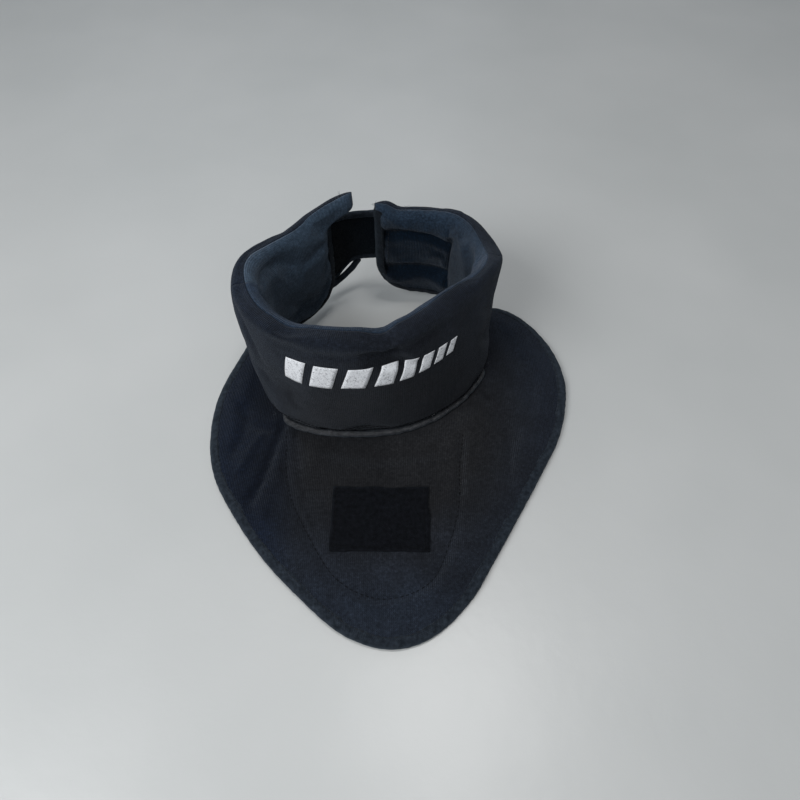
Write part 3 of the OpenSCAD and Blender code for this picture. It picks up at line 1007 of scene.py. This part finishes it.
quilting_rows = rectangle(*QUILT, quilt_rows,
                          lambda a, z: on_cloth(skin_tree, a, z, 0.15 * mm, True))
quilt = sew("right_quilting_stitches", quilting_rows, 2.3 * mm, 1.9 * mm, 0.6 * mm)
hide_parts("right_patch_stitching")
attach(quilt, "right_wing")

# ---------------------------------------------------------------- seam and piping of the collar
# The collar's foot is sewn to the bib: a satin piping lies in the seam, with two rows of
# topstitching in the knit just above it.

piping_satin = woven("piping_satin", (0.014, 0.015, 0.018), (0.040, 0.042, 0.047), 0.4 * mm,
                     0.0001, 0.38, 0.1)


def tube(name, points, radius, sides=10, taper=False):
    """Round cord or thread through points."""
    rings = []
    for k, point in enumerate(points):
        ahead = (points[min(k + 1, len(points) - 1)] - points[max(k - 1, 0)]).normalized()
        across = ahead.cross(Vector((0, 0, 1)))
        across = across.normalized() if across.length > 0.01 else Vector((1, 0, 0))
        up = across.cross(ahead)
        size = radius * (1 - 0.8 * k / len(points)) if taper else radius
        rings.append([point + size * (across * math.cos(math.tau * j / sides)
                                      + up * math.sin(math.tau * j / sides))
                      for j in range(sides)])
    return loft(name, rings)


PIPING_FROM, PIPING_TO = 217, 338
piping_low, piping_high = (corner.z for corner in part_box("collar_seam_piping"))
piping_radius = (piping_high - piping_low) / 2


def piping_point(angle):
    """The piping wanders a little along its seam and tucks in at both ends."""
    waver = noise.noise(Vector((angle * 0.3, 0, 0)))
    rise = noise.noise(Vector((angle * 0.22, 5, 0)))
    tucked = 1 - ease(min(angle - PIPING_FROM, PIPING_TO - angle) / 7)
    return place(angle, piping_radius * (0.95 + 0.25 * waver) - 4 * mm * tucked,
                 piping_low + piping_radius + 0.5 * mm * rise)


piping_line = [piping_point(angle) for angle in steps(PIPING_FROM, PIPING_TO, 1.2)]
piping = tube("collar_seam_satin_piping", piping_line, piping_radius * 1.4)
sculpt(piping, pucker(0.45 * mm, 220))
smooth(piping)
dress(piping, piping_satin, "piping_tape", "collar_seam_piping")
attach(piping, "collar_and_yoke")
seam_rows = [[on_cloth(skin_tree, a, z + 0.6 * mm * noise.noise(Vector((a * 0.2, z * 900, 0))),
                       0.1 * mm) for a in steps(PIPING_FROM - 4, PIPING_TO + 4, 1.0)]
             for z in (11.6 * mm, 14.2 * mm)]
seam_thread = thread_material("seam_thread", (0.0025, 0.0025, 0.0032), 0.8)
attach(sew("collar_seam_topstitches", seam_rows, 2.3 * mm, 2.1 * mm, 0.62 * mm, seam_thread),
        "collar_and_yoke")

# ---------------------------------------------------------------- printed mark
# White screen print on the collar's front: plain slanted bars that shrink to the right. The
# ink follows every fold of the knit and has cracked and rubbed off in places.


def print_ink():
    material, tree, body = new_material("white_print")
    cracks = cells(body, 900, feature="DISTANCE_TO_EDGE")
    worn = calc("ADD", calc("MULTIPLY", cracks, 1.3), grain(body, 520, 5, 0.7))
    colour = ramp(worn, (0.40, (0.22, 0.22, 0.24)), (0.56, (0.74, 0.75, 0.78)),
                  (0.9, (0.86, 0.87, 0.90)))
    set_surface(tree, colour, bump(worn, 0.0001), 0.6)
    return material


def grid_faces(columns, rows, base=0):
    """Quads over a grid of points that are stored row by row."""
    return [(k, k + 1, k + 1 + columns, k + columns) for row in range(rows - 1)
            for k in range(base + row * columns, base + (row + 1) * columns - 1)]


BARS = ((230, 12, 18), (243, 11, 17), (255, 10, 15.5), (266, 9, 14), (276, 8, 12.5),
        (285, 7, 11), (293, 6, 10), (300, 5, 9))      # start angle, width, height
MARK_MIDDLE = 65 * mm
INK_COLUMNS, INK_ROWS = 7, 13
ink_points, ink_faces = [], []
for start, width, height in BARS:
    ink_faces += grid_faces(INK_COLUMNS, INK_ROWS, len(ink_points))
    for row in range(INK_ROWS):
        up = row / (INK_ROWS - 1)
        ink_points += [on_cloth(skin_tree, start + width * 0.8 * k / (INK_COLUMNS - 1) + 3 * up,
                                MARK_MIDDLE + (up - 0.5) * height * mm, 0.3 * mm)
                       for k in range(INK_COLUMNS)]
ink = add_mesh("front_white_print", ink_points, ink_faces)
thicken(ink, 0.1 * mm)
dress(ink, print_ink(), "white_print", "front_mark")
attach(ink, "collar_and_yoke")

# ---------------------------------------------------------------- closure tab
# A woven tab with hook tape on its inner side, bound at its edge. Its root is sewn flat on
# the outside of the left half, and it closes over the loop tape on the right half.

TAB_LOW, TAB_HIGH = 29 * mm, 67 * mm
TAB_ROOT, TAB_TIP, TAB_RATE = 109.4, 56, 0.7 / mm   # ring angles, and degrees per metre
TIP_RADIUS = 8 * mm
ANCHOR_END = 130
tab_web = woven("tab_webbing", (0.0070, 0.0085, 0.0110), (0.0170, 0.0200, 0.0260), 0.8 * mm,
                0.0003, 0.7, 0.2)
hook_plastic = thread_material("hook_tape", (0.0028, 0.0058, 0.0095), 0.5)
loop_pile = woven("loop_tape", (0.0024, 0.0028, 0.0042), (0.0060, 0.0068, 0.0096), 0.5 * mm,
                  0.0002, 0.95, 0.03)


def tab_out(angle):
    """How far the tab's inner face lies outside the wall: on it at the root, then clear."""
    return (0.2 + 3.1 * ease((TAB_ROOT + 9 - angle) / 9)) * mm


def tab_low(angle):
    return TAB_LOW - 13 * mm * bell(angle, TAB_ROOT + 1, 18)


def tab_bite(angle, inset=0.0):
    """How far the rounded tip eats into the tab's width."""
    reach = TIP_RADIUS - inset
    along = (angle - TAB_TIP) / TAB_RATE - inset
    share = min(1.0, max(0.0, (reach - along) / reach))
    return reach * (1 - math.sqrt(1 - share * share))


def slab(name, angles, out, low, high, thickness, rows=14):
    """Flat tape that follows the ring: out(angle) is its inner face."""
    rings = []
    for angle in angles:
        inner, bottom, top = out(angle), low(angle), high(angle)
        heights = [bottom + (top - bottom) * k / rows for k in range(rows + 1)]
        face = [(inner + thickness, z) for z in heights]
        rings.append([place(angle, o, z) for o, z in
                      face + [(inner, z) for z in reversed(heights)]])
    return loft(name, rings)


def tab_edge(inset):
    return (lambda a: tab_low(a) + inset + tab_bite(a, inset),
            lambda a: TAB_HIGH - inset - tab_bite(a, inset))


TAB_HINGE = Vector(joints["closure_tab_peel"]["pos_m"])
TAB_WAY = Vector((ring(95, 0)[0] - ring(105, 0)[0], ring(95, 0)[1] - ring(105, 0)[1], 0))
TAB_WAY.normalize()


def hang_tab(piece):
    """Bakes the piece's place into its mesh."""
    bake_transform(piece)


low, high = tab_edge(1.2 * mm)
web = slab("closure_tab_webbing", steps(ANCHOR_END, TAB_TIP + 0.9, 1.5),
           lambda a: tab_out(a) + 1.1 * mm * ease((TAB_ROOT + 4 - a) / 4), low, high, 1.3 * mm)
sculpt(web, pucker(0.35 * mm, 60))
dress(web, tab_web, "knit_cover", "closure_tab_back", "tab_anchor")
hang_tab(web)
low, high = tab_edge(2.5 * mm)
hooks = slab("closure_tab_hook_tape", steps(TAB_ROOT - 1, TAB_TIP + 2, 1.5),
             lambda a: tab_out(a) - 0.1 * mm, low, high, 1.0 * mm)
dress(hooks, hook_plastic, "hook_tape", "closure_tab_hooks")
hook_field = part_of(hooks, "closure_tab_hook_field",
                     lambda f: f.normal.dot(outward_of(f.calc_center_median())) <= -0.6)
run_group(hook_field, PILE, density=0.45e6, size=0.45 * mm, yarn=0.13 * mm,
          sweep=math.radians(250), material=hook_plastic)
for piece in (hooks, hook_field):
    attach(piece, "closure_tab")


def tab_outline():
    """(angle, height, turn) round the tab's edge: under, round the tip and back along."""
    tip_start = TAB_TIP + TIP_RADIUS * TAB_RATE
    under = [(a, tab_low(a), 0.0) for a in steps(TAB_ROOT - 0.5, tip_start, 1.6)]
    over = [(a, TAB_HIGH, math.pi) for a, _, _ in reversed(under)]
    tip = []
    for start, base in ((0, TAB_LOW + TIP_RADIUS), (math.pi / 2, TAB_HIGH - TIP_RADIUS)):
        for k in range(1, 7):
            turn = start + math.pi / 2 * k / 6 - (0 if start == 0 else math.pi / 12)
            tip.append((TAB_TIP + TIP_RADIUS * TAB_RATE * (1 - math.sin(turn)),
                        base - TIP_RADIUS * math.cos(turn), turn))
    return under[:-1] + tip + over[1:]


tab_section = folded_section(lambda q: 1.25 * mm, 0.35 * mm, 3.4 * mm)
tab_rings = [[place(a + q * math.sin(turn) * TAB_RATE, tab_out(a) + 1.15 * mm + h,
                    z + q * math.cos(turn)) for q, h in tab_section]
             for a, z, turn in tab_outline()]
tab_bound = loft("closure_tab_bound_edge", tab_rings)
sculpt(tab_bound, pucker(0.25 * mm))
dress(tab_bound, binding_weave, "binding_tape", "closure_tab_binding")
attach(tab_bound, "closure_tab")


def tab_face(angle, height):
    return on_cloth(tree_web, angle, height, 0.1 * mm)


tree_web = tree_of(web)
anchor_rows = rectangle(118.5, 128, lambda a: (31 * mm, 64 * mm), tab_face)
anchor_sewing = sew("tab_anchor_stitches", anchor_rows, 2.2 * mm, 1.8 * mm, 0.6 * mm)
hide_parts("tab_anchor_stitching")
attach(anchor_sewing, "left_wing")

# ---------------------------------------------------------------- the tab's loose edging
# The tab's edging has pulled loose under its root. It hangs as a flat band to the half's foot.


def curve_through(points, steps_each=4, closed=True):
    """Smooth curve in metres through points given in millimetres."""
    given = np.array(points, float) * mm
    line = (np.vstack([given[-1:], given, given[:2]]) if closed
            else np.vstack([given[:1], given, given[-1:]]))
    found = []
    for a, b, c, e in zip(line, line[1:], line[2:], line[3:]):
        for u in np.arange(steps_each) / steps_each:
            found.append(0.5 * (2 * b + (c - a) * u + (2 * a - 5 * b + 4 * c - e) * u * u
                                + (3 * b - a - 3 * c + e) * u ** 3))
    return np.array(found if closed else found + [given[-1]])


LOOSE_ROUTE = ((-23.5, 125.5, 29), (-29, 123.5, 21.5), (-37, 119, 15.5), (-45.5, 113, 12.5),
               (-55, 105.5, 11.5))
loose_line = [Vector(p) for p in curve_through(LOOSE_ROUTE, 6, False)]
BAND_WAY, BAND_HALF, BAND_THICK = Vector((-0.66, 0.61, 0.43)), 2.3 * mm, 0.55 * mm
BAND_SECTION = ((1, 0), (0.9, 0.8), (0.3, 1), (-0.3, 1), (-0.9, 0.8), (-1, 0), (-0.9, -0.8),
                (-0.3, -1), (0.3, -1), (0.9, -0.8))
loose_rings = []
for k, point in enumerate(loose_line):
    along = loose_line[min(k + 1, len(loose_line) - 1)] - loose_line[max(k - 1, 0)]
    face = along.cross(BAND_WAY).normalized()
    loose_rings.append([point + BAND_WAY * (BAND_HALF * q) + face * (BAND_THICK * t)
                        for q, t in BAND_SECTION])
loose_edging = loft("tab_loose_edging", loose_rings)
smooth(loose_edging)
sculpt(loose_edging, pucker(0.25 * mm, 240))
dress(loose_edging, binding_weave, "binding_tape")
hang_tab(loose_edging)

# ---------------------------------------------------------------- loop tape, right half
# Loop tape sewn flat on the outside of the right half, which the tab's hooks grip.

loop_tape = slab("right_loop_tape", steps(80, 38, 1.8), lambda a: 0.15 * mm,
                 lambda a: TAB_LOW, lambda a: TAB_HIGH, 1.1 * mm)
dress(loop_tape, loop_pile, "loop_tape", "right_loop_patch")
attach(loop_tape, "right_wing")
tree_loop = tree_of(loop_tape)
loop_rows = rectangle(40, 78, lambda a: (TAB_LOW + 2.5 * mm, TAB_HIGH - 2.5 * mm),
                      lambda a, z: on_cloth(tree_loop, a, z, 0.1 * mm))
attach(sew("right_loop_tape_stitches", loop_rows, 2.3 * mm, 1.9 * mm, 0.5 * mm), "right_wing")

# ---------------------------------------------------------------- the bib
# Foam padded flap that lies on the chest and shoulders: knit above, brushed backing below.
# A shield shaped pad is sewn in ahead of the bend, and long wear has left soft creases.

OUTLINE = ((0, -128), (22, -122), (42, -104), (56, -83), (71, -59), (88, -31), (103, -4),
           (111.4, 26), (111, 50), (103, 74), (88, 94), (70, 103), (57, 97), (53, 82), (55, 62),
           (53, 42), (43, 22), (23, 8), (-5, 3), (-34, 6), (-55, 20), (-66, 42), (-67, 64),
           (-64, 84), (-67, 98), (-80, 99), (-93, 82), (-103, 54), (-111, 25), (-111, -5),
           (-104, -32), (-88, -58), (-68, -83), (-46, -104), (-24, -121))
SHIELD = ((40, -26), (38, -52), (31, -76), (20, -96), (-4, -104), (-28, -94), (-46, -68),
          (-58, -44), (-62, -26))
SHIELD_SEAM = ((43, -5), (42, -14)) + SHIELD + ((-63, -14), (-64, -4))
BIB_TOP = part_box("bib_flap_cover")[1].z
RIM = 3.7 * mm                       # height of the bib's upper face under its binding


def gap_to(points, line, closed=True):
    """Distance of each point from a line."""
    best = np.full(len(points), 1.0)
    for a, b in zip(line, np.roll(line, -1, axis=0) if closed else line[1:]):
        way = b - a
        along = np.clip(((points - a) @ way) / max(way @ way, 1e-12), 0, 1)
        best = np.minimum(best, np.hypot(*(points - a - along[:, None] * way).T))
    return best


def inward_of(line):
    """Unit normals of a closed line, pointing inward."""
    way = np.roll(line, -1, axis=0) - np.roll(line, 1, axis=0)
    way /= np.linalg.norm(way, axis=1)[:, None]
    return np.stack([-way[:, 1], way[:, 0]], axis=1)


def inset_of(line, inset):
    return line + inset * inward_of(line)


bib_edge = curve_through(OUTLINE)
shield_edge = curve_through(SHIELD)
# (line, depth, half width) of each soft crease, in millimetres; a negative depth is a ridge
CREASES = (
    (((-66, 3), (-70, -14), (-75, -36), (-83, -62)), 1.5, 3.4),
    (((-61, 0), (-64, -20), (-68, -44), (-74, -70)), -0.4, 4),
    (((-58, -4), (-55, -24), (-48, -50), (-38, -72)), 0.6, 2.6),
    (((-100, 30), (-94, 12), (-86, 2), (-74, -2)), 0.7, 4),
    (((-79, -6), (-84, -17), (-88, -30)), -0.8, 3.5),
    (((-92, 14), (-90, -2), (-95, -20)), 0.8, 5),
    (((56, 33), (58, 27), (61, 20)), 1.5, 3.2),
    (((61, 21), (68, 6), (71, -12), (68, -36)), 1.4, 4.2),
    (((74, 22), (80, 4), (80, -14)), -0.9, 6),
    (((86, 52), (90, 34), (88, 12)), 0.7, 5),
    (((42, -6), (41, -24), (40, -44)), 1.2, 2.6),
    (((-38, -16), (-10, -22), (24, -17)), 0.6, 8),
    (((-30, -108), (-4, -112), (26, -104)), 0.6, 5),
)


def groove(points, line, steps_each, half):
    """1 on an open line, easing to 0 at half a groove's width from it, in millimetres."""
    near = np.clip(1 - gap_to(points, curve_through(line, steps_each, False), False)
                   / (half * mm), 0, 1)
    return near ** 2 * (3 - 2 * near)


def bib_height(points):
    """Height of the bib's upper face over points of the table."""
    gap = gap_to(points, bib_edge)
    polar = np.hypot(points[:, 0] - RING_CENTRE[0], points[:, 1] - RING_CENTRE[1])
    under = np.clip((HALF_WIDTH + 6 * mm - polar) / (8 * mm), 0, 1)
    gap = gap + 9 * mm * under
    share = np.clip((gap - 4.5 * mm) / (11 * mm), 0, 1)
    height = RIM + (BIB_TOP - RIM) * np.sqrt(1 - (1 - share) ** 2)
    puffy = np.clip((gap - 9 * mm) / (14 * mm), 0, 1)
    height += 0.8 * mm * np.sin(puffy * math.pi) * (1 - under)
    field = np.clip((gap - 6 * mm) / (8 * mm), 0, 1)
    height -= 1.5 * mm * groove(points, SHIELD_SEAM, 4, 3.4) * field
    for line, depth, half in CREASES:
        height -= 1.7 * depth * mm * groove(points, line, 5, half) * field
    wave = np.array([noise.fractal(Vector((x * 26, y * 26, 0.3)), 1.0, 2.0, 3)
                     for x, y in points])
    crimp = np.array([noise.noise(Vector((x * 130, y * 130, 1.7))) for x, y in points])
    close = np.clip(1 - np.abs(gap - 9 * mm) / (6 * mm), 0, 1)
    return height + field * (1.0 * mm * wave + 0.6 * mm * crimp * close)


def bib_sheet(name, edge, height, spacing=3.1 * mm, rings=(0, 2.4, 5, 8), only=None):
    """Sheet inside an outline, with height(points) giving its height."""
    loops = [inset_of(edge, r * mm) for r in rings]
    low, high = edge.min(axis=0), edge.max(axis=0)
    grid = np.array([(x + (spacing / 2 if row % 2 else 0), y)
                     for row, y in enumerate(np.arange(low[1], high[1], spacing * 0.87))
                     for x in np.arange(low[0], high[0], spacing)])
    grid = grid[gap_to(grid, edge) > (rings[-1] + 2) * mm]
    points = np.vstack(loops + [grid])
    count = len(edge)
    flat, _, faces, *_ = geometry.delaunay_2d_cdt(
        [Vector(p) for p in points], [], [list(range(count))], 1, 1e-7)
    flat = np.array([tuple(p) for p in flat])
    heights = height(flat)
    uvs = [tuple(flat[v]) for face in faces for v in face]
    return add_mesh(name, np.column_stack([flat, heights]), [tuple(f) for f in faces], uvs)


def hang_bib(piece):
    """Bakes the piece's place into its mesh."""
    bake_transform(piece)


def closed_slab(name, edge, top, bottom, rings=(0, 4), spacing=5 * mm):
    """Padded layer between two height fields, closed round its edge."""
    upper = bib_sheet(name, edge, top, spacing, rings)
    lower = bib_sheet(name + "_under", edge, bottom, spacing, rings)
    with edited(upper) as mesh:
        first, count = len(mesh.verts), len(edge)
        mesh.from_mesh(lower.data)
        mesh.verts.ensure_lookup_table()
        for face in mesh.faces:
            if face.verts[0].index >= first:
                face.normal_flip()
        for k in range(count):
            n = (k + 1) % count
            mesh.faces.new([mesh.verts[i] for i in (k, first + k, first + n, n)])
        bmesh.ops.recalc_face_normals(mesh, faces=mesh.faces)
    bpy.data.objects.remove(lower)
    return upper


# painted shade and light: the bib's knit is darker and bluer on its left panel, slightly lighter
# at its right edge, and much lighter towards its lower tip
bib_knit = knit("bib_knit", (0.0052, 0.0052, 0.0060), (0.0125, 0.0125, 0.0138), 0.10,
                painted_light_and_shade=[(0, [(-0.100, (0.48, 0.62, 0.86)), (-0.070, (0.45, 0.56, 0.78)),
                            (-0.052, (1, 1, 1)), (0.07, (1, 1, 1)), (0.10, (1.05, 1.05, 1.1))]),
                       (1, [(-0.125, (1.75, 1.65, 1.55)), (-0.060, (1.02, 1.02, 1.02)),
                            (0.04, (1, 1, 1))])])
cover = bib_sheet("bib_knit_cover", inset_of(bib_edge, 1.2 * mm), bib_height)
smooth(cover)
bib_tree = tree_of(cover)
thicken(cover, 0.9 * mm)
dress(cover, bib_knit, "knit_cover", "bib_yoke_cover", "bib_flap_cover")
hang_bib(cover)


def level(height):
    return lambda points: np.full(len(points), height)


def under_knit(lowest, depth):
    return lambda points: np.maximum(lowest, bib_height(points) - depth)


backing = bib_sheet("bib_backing_cloth", inset_of(bib_edge, 2.4 * mm), level(0.75 * mm), 6 * mm,
                    (0, 5))
thicken(backing, 0.7 * mm)
dress(backing, lining_knit, "inner_lining", "bib_yoke_backing", "bib_flap_backing")
hang_bib(backing)

bib_foam = closed_slab("bib_foam_pad", inset_of(bib_edge, 7 * mm),
                       under_knit(1.6 * mm, 2.5 * mm), level(0.9 * mm))
dress(bib_foam, foam, "foam", "bib_yoke_foam", "bib_flap_foam")
hang_bib(bib_foam)
shield = closed_slab("bib_shield_pad", inset_of(shield_edge, -2 * mm),
                     under_knit(1.8 * mm, 2.2 * mm), level(0.85 * mm))
dress(shield, foam, "foam", "bib_center_pad")
hang_bib(shield)

# ---------------------------------------------------------------- the bib's bound edge
# The bib's edge is bound all round with the same folded tape, stitched just inside its edge
# and puckered all along it.


def bib_binding_loops():
    """Section loops of the folded tape along the outline."""
    fine = curve_through(OUTLINE, 9)
    section = ((6.5, 3.9), (6.1, 4.65), (4.4, 4.85), (2.4, 4.6), (0.8, 4.0), (0, 2.4),
               (0.5, 0.9), (1.6, 0.15), (6.3, 0.02), (6.3, 0.4), (2, 0.9), (1.2, 2.3),
               (2, 3.3), (6.2, 3.5))
    loops = []
    for point, normal in zip(fine, inward_of(fine)):
        crimp = noise.noise(Vector((point[0] * 150, point[1] * 150, 0)))
        gather = noise.noise(Vector((point[0] * 38, point[1] * 38, 4)))
        loop = []
        for q, z in section:
            wide = q + (0.9 * gather + 0.6 * crimp) * (q > 4)
            raised = z + (0.8 * crimp + 0.3 * gather) * (0.8 < z) * (q < 6.3)
            x, y = point + wide * mm * normal
            loop.append(Vector((x, y, max(0.02, raised) * mm)))
        loops.append(loop)
    return loops


bib_bound = loft("bib_bound_edge", bib_binding_loops(), closed_path=True)
smooth(bib_bound)
sculpt(bib_bound, lambda p, n: n * 0.22 * mm * noise.noise(p * 420) * (p.z > 1 * mm))
dress(bib_bound, binding_weave, "binding_tape", "bib_yoke_binding", "bib_flap_binding")
hang_bib(bib_bound)
bound_tree = tree_of(bib_bound)


def drop(tree, x, y, lift):
    """Point on a piece straight below a place over the table."""
    hit, _, _, _ = tree.ray_cast(Vector((x, y, 50 * mm)), Vector((0, 0, -1)))
    return (hit if hit is not None else Vector((x, y, BIB_TOP))) + Vector((0, 0, lift))


edge_row = [drop(bound_tree, *p, 0.08 * mm) for p in inset_of(curve_through(OUTLINE, 8), 5.2 * mm)]
hang_bib(sew("bib_edge_stitches", [edge_row + edge_row[:1]], 2.9 * mm, 2.1 * mm, 0.5 * mm))
shield_row = [drop(bib_tree, *p, 0.02 * mm) for p in curve_through(SHIELD_SEAM, 8, False)]
hang_bib(sew("bib_shield_stitches", [shield_row], 3 * mm, 2.3 * mm, 0.5 * mm, seam_thread))

# ---------------------------------------------------------------- the bib's loop tape
# A patch of loop tape sewn on the flap's middle, where something hook-backed would hold.

(LEFT_X, LOW_Y, _), (RIGHT_X, HIGH_Y, _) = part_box("bib_loop_patch")
PATCH_SEAM = 2.4 * mm


def patch_sheet(name, inset, lift):
    """Grid of cloth dropped on the bib over the patch, drawn down along its seam."""
    across = steps(LEFT_X + inset, RIGHT_X - inset, 1.6 * mm)
    up = steps(LOW_Y + inset, HIGH_Y - inset, 1.6 * mm)
    points = []
    for y in up:
        for x in across:
            rim = min(x - LEFT_X, RIGHT_X - x, y - LOW_Y, HIGH_Y - y)
            seam = bell(rim, PATCH_SEAM, 1.8 * mm)
            wobble = 0.8 * mm * noise.noise(Vector((x * 90, y * 90, 2)))
            points.append(drop(bib_tree, x + wobble, y + wobble, lift - 0.5 * mm * seam))
    faces = grid_faces(len(across), len(up))
    return add_mesh(name, points, faces, [points[v].xy for quad in faces for v in quad])


patch = patch_sheet("bib_loop_tape", 0, 1.1 * mm)
thicken(patch, 1.0 * mm)
dress(patch, loop_pile, "loop_tape", "bib_loop_patch")
patch_pile = patch_sheet("bib_loop_pile", 0.8 * mm, 1.0 * mm)
run_group(patch_pile, PILE, density=1.6e6, size=0.4 * mm, yarn=0.07 * mm,
          sweep=math.radians(200), material=loop_pile)
patch_tree = tree_of(patch)
shares = [k / 30 for k in range(1, 30)]
patch_rows = []
for y in (LOW_Y + PATCH_SEAM, HIGH_Y - PATCH_SEAM):
    patch_rows.append([(LEFT_X + (RIGHT_X - LEFT_X) * k, y) for k in shares])
for x in (LEFT_X + PATCH_SEAM, RIGHT_X - PATCH_SEAM):
    patch_rows.append([(x, LOW_Y + (HIGH_Y - LOW_Y) * k) for k in shares])
patch_rows = [[drop(patch_tree, x, y, 0.12 * mm) for x, y in row] for row in patch_rows]
patch_sewing = sew("bib_loop_tape_stitches", patch_rows, 2.4 * mm, 1.9 * mm, 0.45 * mm,
                   seam_thread)
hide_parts("bib_patch_stitching")
for piece in (patch, patch_pile, patch_sewing):
    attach(piece, "bib_flap")

# ---------------------------------------------------------------- frayed yarns
# Cut edges have frayed at the top corners of the two halves, and single threads hang from
# the stitching.

random.seed(11)


def fray(name, body, starts, length, spread, count, radius=0.09 * mm):
    """Short curling yarns from each start point."""
    made = []
    for start, way in starts:
        for _ in range(count):
            point = start + Vector([random.uniform(-1, 1) * spread for _ in range(3)])
            aim = (way + Vector([random.uniform(-0.7, 0.7) for _ in range(3)])).normalized()
            line = [point]
            for _ in range(5):
                aim = (aim + Vector([random.uniform(-0.45, 0.45) for _ in range(3)])).normalized()
                line.append(line[-1] + aim * length * random.uniform(0.5, 1) / 5)
            made.append(tube(name, line, radius, 4, True))
    with bpy.context.temp_override(active_object=made[0], selected_editable_objects=made):
        bpy.ops.object.join()
    dress(made[0], grey_lint, "thread")
    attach(made[0], body)


up = Vector((0, 0, 1))
left_top = place(LEFT_END - 9, -WALL / 2, top_of(LEFT_END) - 2 * mm)
left_side = place(LEFT_END - 9, -WALL / 2, 72 * mm)
right_top = place(RIGHT_END - 0.5, -WALL / 2, top_of(RIGHT_END) - 1 * mm)
right_seam = place(RIGHT_END - 12, -WALL / 2, top_of(RIGHT_END - 12) - 0.5 * mm)
fray("left_end_fray", "left_wing", [(left_top, up + TAB_WAY), (left_side, TAB_WAY)], 4 * mm,
     1.5 * mm, 6)
fray("right_end_fray", "right_wing", [(right_top, up - TAB_WAY), (right_seam, up)], 4 * mm,
     1.6 * mm, 7)
fray("foot_fray", "collar_and_yoke",
     [(place(338, 2 * mm, 9 * mm), up + Vector((1, 0, 0))),
      (place(216, 2 * mm, 8 * mm), up - Vector((1, 0, 0)))], 3 * mm, 1 * mm, 3)
